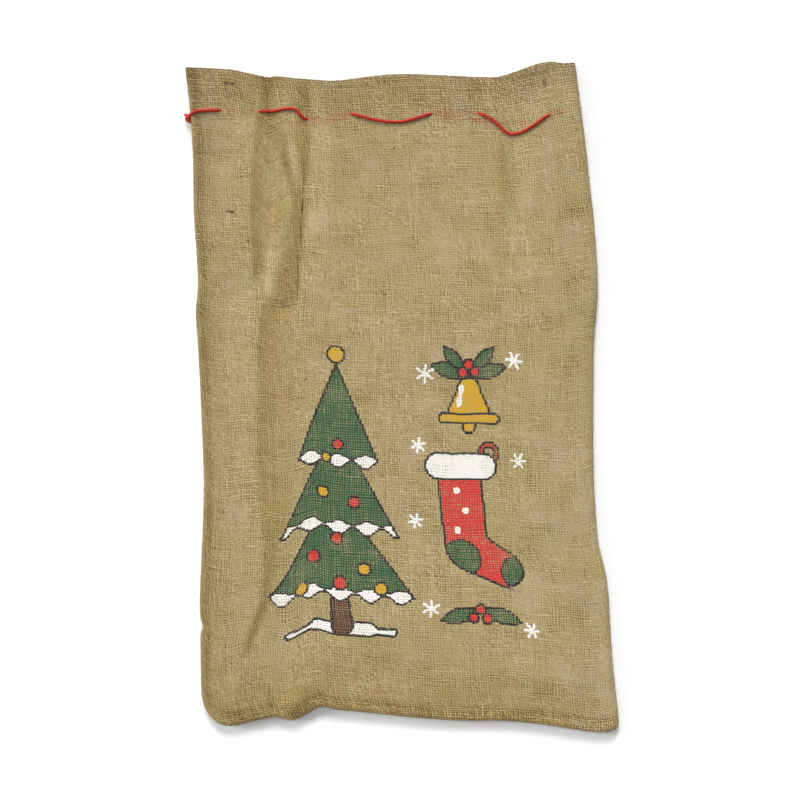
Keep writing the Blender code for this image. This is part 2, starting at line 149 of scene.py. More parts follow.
# Outline of the bag lying down, mm: x, y. Sides run from the bottom corner up to the mouth.
leftEdge = (
    (-191.5, -319), (-196.5, -310.5), (-199.7, -297), (-200.6, -270), (-201, -248),
    (-200.8, -237), (-198.8, -229.5), (-201, -219), (-201.6, -203), (-200.6, -173),
    (-198.5, -128), (-197.5, -83), (-198.5, -53), (-201, 7), (-203.3, 52),
    (-205.6, 82), (-203.6, 112), (-204.5, 142), (-207.5, 187), (-208.5, 247),
    (-210.6, 280), (-213.2, 307), (-216.2, 329),
)
rightEdge = (
    (215.5, -331), (217, -323), (213.8, -293), (209.6, -248), (205.8, -188),
    (199.6, -158), (196.4, -143), (192.8, -98), (191.6, -53), (191.8, 37),
    (193, 67), (195.6, 97), (195.6, 127), (192.6, 172), (187.6, 217),
    (184.4, 247), (180.6, 277), (176.6, 307), (173.6, 334),
)
bottomEdge = (
    (-191.5, -319), (-184.5, -325.5), (-175, -328.6), (-165.5, -328.2), (-150, -324.4),
    (-135, -321.6), (-126, -319.6), (-119, -322), (-110, -323), (-101, -320.6),
    (-91.5, -315.2), (-83, -310.3), (-76, -309.6), (-66, -312.6), (-50, -314),
    (-20, -317), (20, -321), (60, -323.4), (100, -323.6), (135, -326.6),
    (165, -331), (190, -334.8), (207, -335), (215.5, -331),
)
frontRim = (
    (-216.2, 329), (-201, 328.2), (-171, 326), (-155, 322.6), (-139, 319.2),
    (-132.5, 317.6), (-127.5, 319.4), (-120, 319), (-104, 317.2), (-92, 316.6),
    (-72, 314.8), (-52, 315.4), (-22, 317.6), (9, 319.4), (39, 318.6),
    (70, 318.4), (92, 318.4), (100, 316.6), (115, 321.2), (127, 323.4),
    (137, 325.4), (148, 329), (157, 331.4), (173.6, 334),
)
backRim = (
    (-216.2, 329), (-201, 329), (-171, 327.2), (-155, 324), (-135, 319.8),
    (-112, 318.6), (-90, 316.4), (-62, 316.4), (-30, 320.6), (0, 322.8),
    (39, 321.6), (70, 320), (92, 319.4), (100, 320.8), (113, 324.8),
    (127, 329.8), (137.5, 333.4), (150, 335.2), (160, 333.8), (173.6, 334),
)

# Folds of the front, mm: x, y, height, reach to the left and to the right of the fold's line
folds = {
    "firstStep": (creased, (
        (-139, 330, 1.6, 40, 16), (-140, 297, 1.8, 44, 16), (-145.5, 267, 2.2, 46, 17),
        (-149, 237, 2.4, 46, 18), (-150, 197, 2.4, 46, 18), (-149, 157, 2.2, 46, 16),
        (-147, 117, 1.4, 46, 14), (-146, 92, 0, 46, 12),
    )),
    "firstTrough": (soft, (
        (-131, 326, -0.7, 10, 20), (-132.5, 297, -0.7, 10, 20), (-136, 267, -0.9, 12, 22),
        (-137, 237, -0.9, 13, 22), (-137.5, 197, -0.8, 13, 22), (-138, 157, -0.8, 12, 18),
        (-139, 117, -0.7, 12, 10), (-141, 92, 0, 12, 8),
    )),
    "mainRidge": (soft, (
        (-107, 326, 1.2, 24, 15), (-106.5, 287, 1.8, 27, 15), (-105.5, 257, 2.2, 28, 15),
        (-108, 220, 2.7, 29, 15), (-111.5, 187, 3.4, 28, 17), (-117.5, 157, 3.9, 24, 21),
        (-127, 117, 4, 20, 29), (-133, 98, 3.4, 26, 32), (-139, 84, 1.8, 40, 36),
        (-141, 58, 0, 48, 40),
    )),
    "rightCrease": (creased, (
        (-92.5, 324, -2.6, 13, 18), (-92.5, 297, -2.4, 12, 20), (-93, 262, -2, 11, 24),
        (-93.5, 227, -2.1, 12, 26), (-95.5, 192, -2.1, 13, 26), (-99.5, 147, -1.7, 13, 24),
        (-103, 107, -1.2, 13, 22), (-106, 90, 0, 12, 18),
    )),
    "rightSwell": (soft, (
        (-72, 326, 0.6, 26, 36), (-72, 250, 0.8, 27, 42), (-75, 190, 0.9, 27, 46),
        (-81, 130, 0.6, 26, 48), (-88, 90, 0, 24, 48),
    )),
    "smallTrough": (soft, (
        (-132, 288, 0, 8, 7), (-124.5, 268, -2.1, 10, 10), (-115, 247, -3, 11, 9),
        (-107.5, 224, -2.9, 12, 8), (-101, 205, -1.6, 10, 7), (-98, 190, 0, 8, 6),
    )),
    "crossStep": (soft, (
        (-138, 88, 0, 6, 10), (-128, 88, -1.3, 8, 14), (-113, 88, -1.7, 8, 16),
        (-101, 87, -0.7, 9, 16), (-78, 87.5, -0.6, 10, 16), (-54, 86.5, 0, 9, 14),
    )),
    "longLip": (creased, (
        (-138, 106, 0, 60, 26), (-141, 84, 3, 58, 34), (-143, 57, 4.2, 56, 42),
        (-144, 7, 4.6, 54, 44), (-144.5, -43, 4.2, 50, 44), (-143, -93, 3.9, 50, 42),
        (-139, -133, 3.8, 52, 32), (-137.5, -163, 3.6, 54, 25), (-140, -203, 3.2, 50, 18),
        (-147, -223, 2.6, 45, 16), (-154.5, -243, 2, 40, 16), (-163, -268, 0, 34, 14),
    )),
    "cornerCrease": (creased, (
        (-127, -132, 0, 12, 12), (-127.5, -163, -0.7, 12, 12), (-131, -192, -1.1, 12, 13),
        (-138, -215, -1.3, 11, 12), (-148, -243, -1.1, 11, 12), (-156, -266, 0, 10, 10),
    )),
    "footPucker": (creased, (
        (-125.5, -325, -1.6, 9, 8), (-127.5, -304, -1.6, 9, 8), (-133, -288, 0, 9, 8),
    )),
    "footPuff": (soft, (
        (-110, -322, 1.4, 14, 14), (-104, -300, 1.6, 16, 16), (-98, -276, 0, 16, 18),
    )),
    "footTuck": (soft, (
        (-80, -312, -1.2, 14, 16), (-70, -296, -1, 16, 18), (-50, -280, 0, 16, 18),
    )),
    "footRoll": (soft, (
        (-90, -272, 0, 20, 22), (-40, -276, -0.9, 22, 20), (30, -273, -1, 22, 20),
        (90, -268, -0.7, 22, 20), (140, -262, 0, 22, 20),
    )),
    "rightHollow": (soft, (
        (104, 290, 0, 18, 20), (109, 255, -1.4, 20, 22), (112, 215, -1.8, 22, 22),
        (110, 175, -1.6, 22, 24), (106, 120, 0, 20, 24),
    )),
    "rightShoulder": (soft, (
        (126, 300, 0, 20, 30), (133, 262, 0.9, 20, 36), (135, 217, 0.8, 20, 36),
        (132, 150, 0, 20, 34),
    )),
    "cornerSwell": (soft, (
        (120, -190, 0, 40, 40), (150, -235, 1.2, 42, 34), (172, -285, 1, 40, 26),
        (184, -318, 0, 34, 20),
    )),
}

bag = {
    "cloth": 1.2 * mm,  # thickness
    "gap": 11.0 * mm,  # between the panels
    "edgeGap": 5.4 * mm,
    "footGap": 6.4 * mm,
    "crown": 58 * mm,  # from an edge to the full gap
    "foldTaper": 16 * mm,
    "mouthLift": 2.9 * mm,  # by the string under the mouth end
    "liftSteps": (225 * mm, 266 * mm, 296 * mm, 326 * mm),
    "rimLift": 1.2 * mm,
    "ripples": ((31, 9, 0.6), (17, -23, 2.1), (12, 38, 4.0)),  # radians per metre in x and y, start
    "rippleHeight": 0.25 * mm,
    # Crosswise threads slant over the ridge, mm: x where it starts, turns and ends, how far, y of each stage
    "slant": {"x": (-149.5, -133.5, -111.0), "far": 16.0, "y": (132.0, 186.0, 246.0, 314.0)},
    "across": ((0.0068, 4), (0.3000, 42), (0.9932, 74), (1.0, 4)),  # share of the side, faces
    "upwards": ((0.0045, 4), (0.0450, 8), (0.9000, 150), (1.0, 30)),
}
lineStep = 1.5 * mm  # along an outline
coarseStep = 4 * mm  # along a line that only distances are measured from
leastReach = 3 * mm  # of a fold

lie = {
    "steep": 0.15,  # slope for the full golden tint of painted shade
    # Darker or, below zero, paler cloth near an edge: painted light at the right edge and the foot, darker
    # towards the left edge: reach in mm, amount
    "left": ((34, 0.08), (95, 0.16)),
    "right": ((70, -0.07),),
    "foot": ((12, -0.40), (30, -0.04), (70, 0.02)),
    "ridge": (0.15, 0.0),  # painted shade right and left of the turn of the slanted threads
    "onRidge": 2.2, "threads": 3.0,  # how soon each is full where the threads slant
    "lines": {  # painted shade along folds and the rim, below zero painted light; mm: x, y, amount, reach to the left and to the right
        # painted shade on the ridge's edge and flank
        "ridgeEdge": (soft, (
            (-119.0, 268.0, 0.0, 5, 6), (-117.0, 246.0, 0.26, 6, 7), (-113.5, 226.0, 0.30, 6, 7),
            (-109.0, 208.0, 0.18, 5, 6), (-104.0, 192.0, 0.0, 5, 5),
        )),
        "ridgeFlank": (soft, (
            (-137.0, 168.0, 0.0, 6, 7), (-138.5, 150.0, 0.14, 9, 9), (-139.5, 125.0, 0.20, 9, 9),
            (-139.0, 104.0, 0.12, 9, 9), (-137.0, 88.0, 0.0, 6, 6),
        )),
        # paler: painted light where the string's shadow falls
        "belowString": (soft, (
            (-141.0, 285.0, 0.0, 5, 5), (-136.0, 279.0, -0.34, 7, 7), (-130.0, 276.0, -0.40, 8, 8),
            (-123.0, 279.0, 0.0, 5, 5),
        )),
        # paler: painted light on the shaded side of the crease
        "creaseTop": (soft, (
            (-99.0, 290.0, 0.0, 4, 4), (-99.0, 277.0, -0.16, 5, 5), (-99.5, 246.0, -0.15, 5, 5),
            (-99.5, 228.0, 0.0, 4, 4),
        )),
        # painted shade along the front rim's edge
        "rimNotch": (soft, (
            (-150.0, 320.4, 0.0, 3, 4), (-139.0, 317.4, 0.30, 3, 4), (-131.0, 316.2, 0.34, 3, 4),
            (-120.0, 317.4, 0.16, 3, 4), (-110.0, 317.0, 0.0, 3, 4),
        )),
        # painted shade along the front rim's edge at the right corner
        "rimCorner": (soft, (
            (100.0, 315.4, 0.0, 3, 4), (115.0, 319.4, 0.26, 3, 4), (137.0, 323.6, 0.34, 3, 4),
            (157.0, 329.6, 0.26, 3, 4), (171.0, 332.0, 0.0, 3, 4),
        )),
    },
    "goldenRidge": 0.75,  # golden painted shade where the threads slant
    "goldenLines": 4.0,
    "goldenLeft": (30, 0.75),  # reach from the edge in mm, amount
    "goldenFoot": (75, 0.95),
    "greyRight": 80,  # mm from the right edge
    "string": 1.9,  # mm that it shows to each side
    "stringFull": 1.6,
    # Where it is inside and shows through, mm: x from, to, how much
    "frontSpans": ((-180, -144, 0.9), (-94, -52, 0.9), (32, 75, 1.3), (149, 170, 0.9)),
    "backSpans": ((-181, -165, 0.8), (-112, -52, 0.9), (38, 86, 1.1), (110, 124, 0.8)),
}


def smooth(share):
    share = np.clip(share, 0.0, 1.0)
    return share * share * (3.0 - 2.0 * share)


def crowned(share):
    return np.sin(np.clip(share, 0.0, 1.0) * math.pi / 2)


def runLength(points):  # how far along its line each point is
    return np.concatenate([[0.0], np.cumsum(np.linalg.norm(np.diff(points, axis=0), axis=1))])


def lineThrough(rows, step=lineStep):  # rows in mm as a smooth line in metres
    rows = np.array(rows, float) * mm
    ends = np.vstack([2 * rows[0] - rows[1], rows, 2 * rows[-1] - rows[-2]])
    line = []
    for before, start, stop, after in zip(ends[:-3], ends[1:-2], ends[2:-1], ends[3:]):
        count = max(2, int(math.ceil(np.linalg.norm(stop[:2] - start[:2]) / step)))
        t = np.arange(count)[:, None] / count
        bend = 2 * before - 5 * start + 4 * stop - after
        sway = 3 * start - before - 3 * stop + after
        line.append(0.5 * (2 * start + (stop - before) * t + bend * t ** 2 + sway * t ** 3))
    return np.vstack(line + [rows[-1:]])


def along(line, shares):  # points at these shares of the line's length
    length = runLength(line[:, :2])
    return np.stack([np.interp(shares * length[-1], length, column) for column in line.T], axis=-1)


def gridShares(table, turnedEnd):  # even steps in each span, closer where the cloth turns round an edge
    shares = [0.0]
    for stop, count in table:
        start = shares[-1]
        shares += [start + (stop - start) * (k + 1) / count for k in range(count)]
    shares = np.array(shares)
    count = table[0][1]
    shares[:count + 1] = table[0][0] * (1 - np.cos(np.arange(count + 1) / count * math.pi / 2))
    if turnedEnd:
        count, start = table[-1][1], table[-2][0]
        shares[-count - 1:] = start + (1 - start) * np.sin(np.arange(count + 1) / count * math.pi / 2)
    return shares


def panelPlan(rim):  # grid of points between the closed edges and this rim
    u, v = gridShares(bag["across"], True), gridShares(bag["upwards"], False)
    left, right = along(lineThrough(leftEdge), v), along(lineThrough(rightEdge), v)
    bottom, top = along(lineThrough(bottomEdge), u), along(lineThrough(rim), u)
    u, v = u[None, :, None], v[:, None, None]
    corners = ((1 - u) * (1 - v) * bottom[0] + u * (1 - v) * bottom[-1]
               + (1 - u) * v * top[0] + u * v * top[-1])
    return (1 - v) * bottom[None] + v * top[None] + (1 - u) * left[:, None] + u * right[:, None] - corners


def nearestOn(line, points):  # nearest place on the line, how far off, and on which side
    start, run = line[:-1], np.diff(line, axis=0)
    off = points[:, None, :2] - start[None, :, :2]
    flat = run[None, :, :2]
    share = np.clip((off * flat).sum(axis=2) / (flat ** 2).sum(axis=2), 0.0, 1.0)
    gap = np.linalg.norm(off - share[..., None] * flat, axis=2)
    k, rows = gap.argmin(axis=1), np.arange(len(points))
    place = start[k] + share[rows, k][:, None] * run[k]
    turn = run[k, 0] * off[rows, k, 1] - run[k, 1] * off[rows, k, 0]
    return place, gap[rows, k], turn > 0


def edgeDistances(points):  # from the left, the right and the foot
    lines = [lineThrough(rows, coarseStep) for rows in (leftEdge, rightEdge, bottomEdge)]
    return [nearestOn(line, points)[1] for line in lines]


def foldHeights(points, table):  # sum of the folds, creased or soft at their lines
    total = np.zeros(len(points))
    for kind, stations in table.values():
        place, gap, onLeft = nearestOn(lineThrough(stations, coarseStep), points)
        reach = np.maximum(np.where(onLeft, place[:, 4], place[:, 3]), leastReach)
        share = np.clip(1 - gap / reach, 0.0, 1.0)
        total += place[:, 2] * (share ** 2 if kind == creased else smooth(share))
    return total


def lift(points):  # the string under the mouth end holds it up
    starts, full, drops, ends = bag["liftSteps"]
    rise = smooth((points[:, 1] - starts) / (full - starts))
    drop = smooth((points[:, 1] - drops) / (ends - drops))
    return bag["mouthLift"] * rise - (bag["mouthLift"] - bag["rimLift"]) * drop


def outerHeights(points):  # of the back and of the front panel
    left, right, foot = edgeDistances(points)
    sides = np.minimum(left, right)
    edge = np.minimum(sides, foot)
    edgeGap = bag["edgeGap"] + (bag["footGap"] - bag["edgeGap"]) * smooth(1 - foot / bag["crown"])
    full = crowned(sides / bag["crown"]) * crowned(foot / bag["crown"])
    gap = edgeGap + (bag["gap"] - lift(points) - edgeGap) * full
    ripple = bag["rippleHeight"] * sum(
        np.sin(a * points[:, 0] + b * points[:, 1] + start) for a, b, start in bag["ripples"])
    relief = (foldHeights(points, folds) + ripple) * smooth(edge / bag["foldTaper"])
    total = 2 * bag["cloth"] + gap + relief
    half = total / 2
    tuck = np.clip(1 - edge / half, 0.0, 1.0)
    bend = half * (1 - np.sqrt(1 - tuck ** 2))
    return lift(points) + bend, lift(points) + total - bend


def clothPlaces(points):  # where each point lies on the flat cloth
    steps = np.linalg.norm(np.diff(points, axis=1), axis=2)
    x = np.concatenate([np.zeros((len(points), 1)), np.cumsum(steps, axis=1)], axis=1)
    steps = np.linalg.norm(np.diff(points, axis=0), axis=2)
    y = np.concatenate([np.zeros((1, points.shape[1])), np.cumsum(steps, axis=0)])
    width, height = x[:, -1].mean(), y[-1].mean()
    return np.stack([x / x[:, -1:] * width, y / y[-1:] * height], axis=-1), width, height


def slanted(points):  # how far the crosswise threads run askew
    starts, turns, ends = bag["slant"]["x"]
    low, full, fades, high = bag["slant"]["y"]
    x, y = points[..., 0] / mm, points[..., 1] / mm
    tent = np.clip(np.minimum((x - starts) / (turns - starts), (ends - x) / (ends - turns)), 0.0, 1.0)
    fade = smooth((high - y) / (high - fades))
    return bag["slant"]["far"] * mm * tent * smooth((y - low) / (full - low)) * fade


def clothLie(points):  # per point: golden painted shade on slopes away from the light, painted shade and painted light, threads that slant
    flat = points.reshape(-1, 3)
    slope = np.gradient(points[..., 2], axis=1) / np.gradient(points[..., 0], axis=1)
    golden = np.clip(-slope / lie["steep"], 0.0, 1.0)
    x = points[..., 0] / mm
    left, right, foot = [off.reshape(x.shape) / mm for off in edgeDistances(flat)]
    # painted light and shade near the edges, darker towards the left edge; then painted shade on the ridge
    # and along the listed lines
    dull = sum(amount * smooth(1 - off / reach)
               for off, table in ((left, "left"), (right, "right"), (foot, "foot"))
               for reach, amount in lie[table])
    threads = slanted(points) / (bag["slant"]["far"] * mm)
    onRidge = np.minimum(threads * lie["onRidge"], 1.0)
    dull += onRidge * np.where(x > bag["slant"]["x"][1] - 2, *lie["ridge"])
    lines = foldHeights(flat, lie["lines"]).reshape(x.shape) / mm
    grey = smooth(1 - right / lie["greyRight"])
    leftReach, leftAmount = lie["goldenLeft"]
    footReach, footAmount = lie["goldenFoot"]
    golden = np.maximum.reduce([
        golden, onRidge * lie["goldenRidge"], np.abs(lines) * lie["goldenLines"],
        smooth(1 - left / leftReach) * leftAmount, smooth(1 - foot / footReach) * footAmount])
    golden = golden * (1 - grey) - grey
    return np.stack([golden, dull + lines, np.clip(threads * lie["threads"], 0.0, 1.0)], axis=-1)


def stringBeneath(points):  # how much of the hidden string shows through at each point
    flat, x = points.reshape(-1, 3), points[..., 0] / mm
    beneath = np.zeros(x.shape)
    for rows, spans in ((frontString, lie["frontSpans"]), (backString, lie["backSpans"])):
        off = nearestOn(lineThrough(rows, 2 * mm), flat)[1].reshape(x.shape) / mm
        within = sum(((x > low) & (x < high)) * share for low, high, share in spans)
        shown = np.clip(lie["stringFull"] - off / lie["string"], 0.0, 1.0)
        beneath = np.maximum(beneath, shown * within)
    return beneath


def layPanels():  # points of the front and back cloth, and their shift onto the box of the solid
    sheets = []
    for rim, side in ((frontRim, 1), (backRim, 0)):
        plan = panelPlan(rim)
        heights = outerHeights(plan.reshape(-1, 2))[side].reshape(plan.shape[:2])
        sheets.append(np.dstack([plan, heights]))
    low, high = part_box("bag")
    corners = np.vstack([sheet.reshape(-1, 3) for sheet in sheets])
    shift = (np.array(low + high) - corners.min(axis=0) - corners.max(axis=0)) / 2
    shift[2] = low[2] - corners[:, 2].min()
    return *sheets, shift


def sharedCorners(rows, columns):  # numbers of the corners, the same on both panels along closed edges
    front = np.arange(rows * columns).reshape(rows, columns)
    back = front + rows * columns
    for edge in (np.s_[:, 0], np.s_[:, -1], np.s_[0, :]):
        back[edge] = front[edge]
    used, index = np.unique(np.concatenate([front.ravel(), back.ravel()]), return_inverse=True)
    return index.reshape(2, rows, columns), used


def quads(grid, order):  # the four corners of each face of a grid
    corners = [a[:, :, None] for a in (grid[:-1, :-1], grid[:-1, 1:], grid[1:, :-1], grid[1:, 1:])]
    return np.concatenate([corners[k] for k in order], axis=2).reshape(-1, 4, *grid.shape[2:])


def makeBag():
    front, back, shift = layPanels()
    (frontIndex, backIndex), used = sharedCorners(*front.shape[:2])
    places, width, height = clothPlaces(front)
    places[..., 1] += slanted(front)
    backPlaces = clothPlaces(back)[0] * (-1, 1) + (2 * width, 0)
    faces, uvs = [], []
    for grid, spots, order in ((frontIndex, places, (0, 1, 3, 2)), (backIndex, backPlaces, (2, 3, 1, 0))):
        faces.append(quads(grid, order))
        uvs.append(quads(spots, order))
    corners = np.vstack([front.reshape(-1, 3), back.reshape(-1, 3)]) + shift
    mesh = bpy.data.meshes.new("burlapBag")
    mesh.from_pydata(corners[used].tolist(), [], np.vstack(faces).tolist())
    mesh.uv_layers.new(name="cloth").data.foreach_set("uv", np.vstack(uvs).ravel())
    for name, kind, field, values in (("lie", "FLOAT_VECTOR", "vector", clothLie(front)),
                                      ("beneath", "FLOAT", "value", stringBeneath(front)[..., None])):
        column = np.zeros((len(used), values.shape[-1]))
        column[frontIndex.ravel()] = values.reshape(-1, values.shape[-1])
        mesh.attributes.new(name, kind, "POINT").data.foreach_set(field, column.ravel())
    middle = uvs[0].mean(axis=1) - np.array(picture["middle"])
    slots = np.ones(len(faces[0]) * 2, int)
    slots[:len(faces[0])] = np.where((np.abs(middle) < picture["reach"]).all(axis=1), 0, 1)
    mesh.polygons.foreach_set("material_index", slots)
    mesh.polygons.foreach_set("use_smooth", np.ones(len(slots), bool))
    thing = bpy.data.objects.new("burlapBag", mesh)
    bpy.context.collection.objects.link(thing)
    wall = thing.modifiers.new("cloth", "SOLIDIFY")
    wall.thickness, wall.offset = bag["cloth"], -1.0
    wall.material_offset = wall.material_offset_rim = 1
    return thing, front + shift, back + shift, places, width, height, shift


# The printed picture: a snowy fir tree, a stocking, a bell and holly. All in mm from the picture's middle.
picture = {
    "middle": (0.2065, 0.2330),  # on the flat cloth, m
    "reach": (0.142, 0.156),
    "line": 1.3,  # half the width of the black outline
    "stepped": 0.45,  # how far the edges follow the threads
    "jitter": (260.0, 1.2),  # of the edges: waves per m, mm
    "soak": {"black": 0.62, "brown": 0.50, "green": 0.55, "red": 0.74, "gold": 0.88, "white": 1.0},
    "bare": (0.33, 0.27, 0.16),
    "inks": {
        "black": (0.012, 0.011, 0.011), "red": (0.46, 0.024, 0.018), "white": (0.68, 0.66, 0.63),
        "green": (0.020, 0.074, 0.027), "gold": (0.48, 0.272, 0.011), "brown": (0.075, 0.026, 0.015),
    },
    # Strokes with round ends: x, y, radius at each end
    "mound": ((-116, -146, 3, -12, -145, 3.5), (-88, -144, 5, -36, -143, 6.5)),
    "trunk": (-62, -141, 10, -62, -118, 9),
    "blend": 6.0,  # how softly two strokes of one shape meet
    # Tiers of the tree: height of the tip, height of the foot, half the foot's width, waves along the foot
    "tiers": ((-8, -112, 74, 5), (60, -44, 58, 4), (126, 24, 42, 3)),
    "treeMiddle": -62,
    "waves": (4.0, 2.0),  # of the foot and of the snow's upper edge
    "snow": 8.5,  # its depth
    "baubles": (
        (-88, -74, 6.5, "red"), (-38, -82, 6.5, "gold"), (-64, -52, 6, "red"), (-100, -104, 6.5, "gold"),
        (-62, -98, 7, "red"), (-22, -101, 6.5, "gold"), (-78, -6, 6, "gold"), (-46, -14, 6, "red"),
        (-62, 44, 5.5, "red"), (-74, 30, 5, "gold"), (-62, 136, 8.5, "gold"),
    ),
    "stocking": ((62, 10, 22, 66, -52, 21), (68, -58, 21, 100, -76, 18)),
    "patches": ((60, -66, 18), (114, -80, 17)),  # heel and toe: x, y, radius
    "seam": 1.1,  # half the width of a patch's border
    "dots": ((58, 2, 3.4), (67, -18, 3.4), (58, -38, 3.4)),
    "loop": (92, 40, 8, 2.2),  # x, y, radius, half width
    "cuff": (40, 26, 13, 86, 26, 13),
    "clapper": (72, 66, 6.5),
    "bell": (72, 104, 11, 72, 82, 21),
    "bellFoot": 74,
    "shine": (65, 106, 2.4, 62, 88, 2.4),
    "bellRim": (46, 74, 4.6, 98, 74, 4.6),
    # Holly: x of its middle, leaves as x to each side, y, half length, half width, degrees, then the berries
    "bellHolly": (
        72, ((19, 122, 19, 7.5, 14), (15, 134, 15, 6, 48)), ((66, 120), (78, 121), (72, 128)), 5.2,
    ),
    "holly": (74, ((20, -124, 19, 7, -16),), ((67, -126), (80, -127), (74, -118)), 5),  # at the foot
    # Snowflakes: x, y, reach
    "flakes": (
        (28, 118, 9), (118, 134, 8), (20, 46, 7), (122, 34, 7), (16, -30, 7), (26, -118, 8), (122, -136, 7),
    ),
    "flakeArm": 1.3,  # half its width
}


def stroke(place, row):  # how far off the stroke each place is, below zero inside
    x1, y1, r1, x2, y2, r2 = row
    run = (x2 - x1, y2 - y1)
    square = run[0] ** 2 + run[1] ** 2
    off = place.vector("SUBTRACT", (x1, y1, 0))
    share = off.vector("DOT_PRODUCT", (run[0] / square, run[1] / square, 0), output=1)
    share = share.node("Clamp", {}, {"Value": share})
    away = share.together(share, share).vector("MULTIPLY_ADD", (-run[0], -run[1], 0), off).length()
    return away - r1 if r1 == r2 else away - (share * (r2 - r1) + r1)


def disc(place, x, y, radius):
    return place.vector("DISTANCE", (x, y, 0), output=1) - radius


def leaf(place, x, y, reach, width, degrees):  # pointed leaf: the overlap of two discs
    turn = math.radians(degrees)
    radius = (reach ** 2 + width ** 2) / (2 * width)
    side = radius - width
    nx, ny = -math.sin(turn), math.cos(turn)
    return disc(place, x + nx * side, y + ny * side, radius).math(
        "MAXIMUM", disc(place, x - nx * side, y - ny * side, radius))


class Print:  # inks laid over each other in turn
    def __init__(self):
        self.colour, self.cover = (*picture["inks"]["black"], 1.0), None

    def lay(self, distance, ink, outlined=True):
        half, soak, inks = picture["line"], picture["soak"], picture["inks"]
        if outlined:
            self.lay(distance - half, "black", False)
            self.lay(distance + half, ink, False)
            return
        inside = distance.math("LESS_THAN", 0.0)
        self.colour = inside.mix(self.colour, (*inks[ink], 1.0))
        if self.cover is None:
            self.cover = inside * soak[ink]
        else:
            self.cover = inside * (soak[ink] - self.cover) + self.cover

    def within(self, distance, other, ink):  # only where the other shape is too
        self.lay(distance.math("MAXIMUM", other + picture["line"]), ink, False)


def blended(place, rows):  # two strokes as one shape
    first, second = (stroke(place, row) for row in rows)
    return first.node("Math", {"operation": "SMOOTH_MIN"}, {0: first, 1: second, 2: picture["blend"]})


def layTree(art, place):
    art.lay(blended(place, picture["mound"]), "white")
    art.lay(stroke(place, picture["trunk"]), "brown")
    x, y, _ = place.apart()
    side = abs(x - picture["treeMiddle"])
    deep, shallow = picture["waves"]
    for tip, foot, half, waves in picture["tiers"]:
        rise = tip - foot
        slope = math.hypot(rise, half)
        wave = (side * (math.pi * waves / half)).math("COSINE")
        flank = side * (rise / slope) + (y - tip) * (half / slope)
        body = flank.math("MAXIMUM", foot - y - wave * deep)
        art.lay(body, "green")
        snow = y - wave * shallow - (foot + picture["snow"])
        art.within(snow, body, "white")
        art.within(abs(snow) - picture["line"] * 0.8, body, "black")
    for bx, by, radius, ink in picture["baubles"]:
        art.lay(disc(place, bx, by, radius), ink)


def layStocking(art, place):
    sock = blended(place, picture["stocking"])
    art.lay(sock, "red")
    for row in picture["patches"]:
        patch = disc(place, *row)
        art.within(patch, sock, "green")
        art.within(abs(patch) - picture["seam"], sock, "black")
    for row in picture["dots"]:
        art.within(disc(place, *row), sock, "white")
    *row, half = picture["loop"]
    art.lay(abs(disc(place, *row)) - half, "red")
    art.lay(stroke(place, picture["cuff"]), "white")


def layHolly(art, place, row):
    middle, leaves, berries, radius = row
    for turn in (1, -1):
        for side, y, reach, width, degrees in leaves:
            art.lay(leaf(place, middle + side * turn, y, reach, width, degrees * turn), "green")
    for bx, by in berries:
        art.lay(disc(place, bx, by, radius), "red")


def layBell(art, place):
    art.lay(disc(place, *picture["clapper"]), "gold")
    _, y, _ = place.apart()
    bell = stroke(place, picture["bell"]).math("MAXIMUM", picture["bellFoot"] - y)
    art.lay(bell, "gold")
    art.within(stroke(place, picture["shine"]), bell, "white")
    art.lay(stroke(place, picture["bellRim"]), "gold")
    layHolly(art, place, picture["bellHolly"])


def layFlakes(art, place):
    arm = picture["flakeArm"]
    for x, y, size in picture["flakes"]:
        for degrees in (0, 60, 120):
            turn = math.radians(degrees + x)
            dx, dy = size * math.cos(turn), size * math.sin(turn)
            art.lay(stroke(place, (x - dx, y - dy, arm, x + dx, y + dy, arm)), "white", False)


def layPicture(place):
    art = Print()
    layTree(art, place)
    layStocking(art, place)
    layBell(art, place)
    layHolly(art, place, picture["holly"])
    layFlakes(art, place)
    return art.colour, art.cover


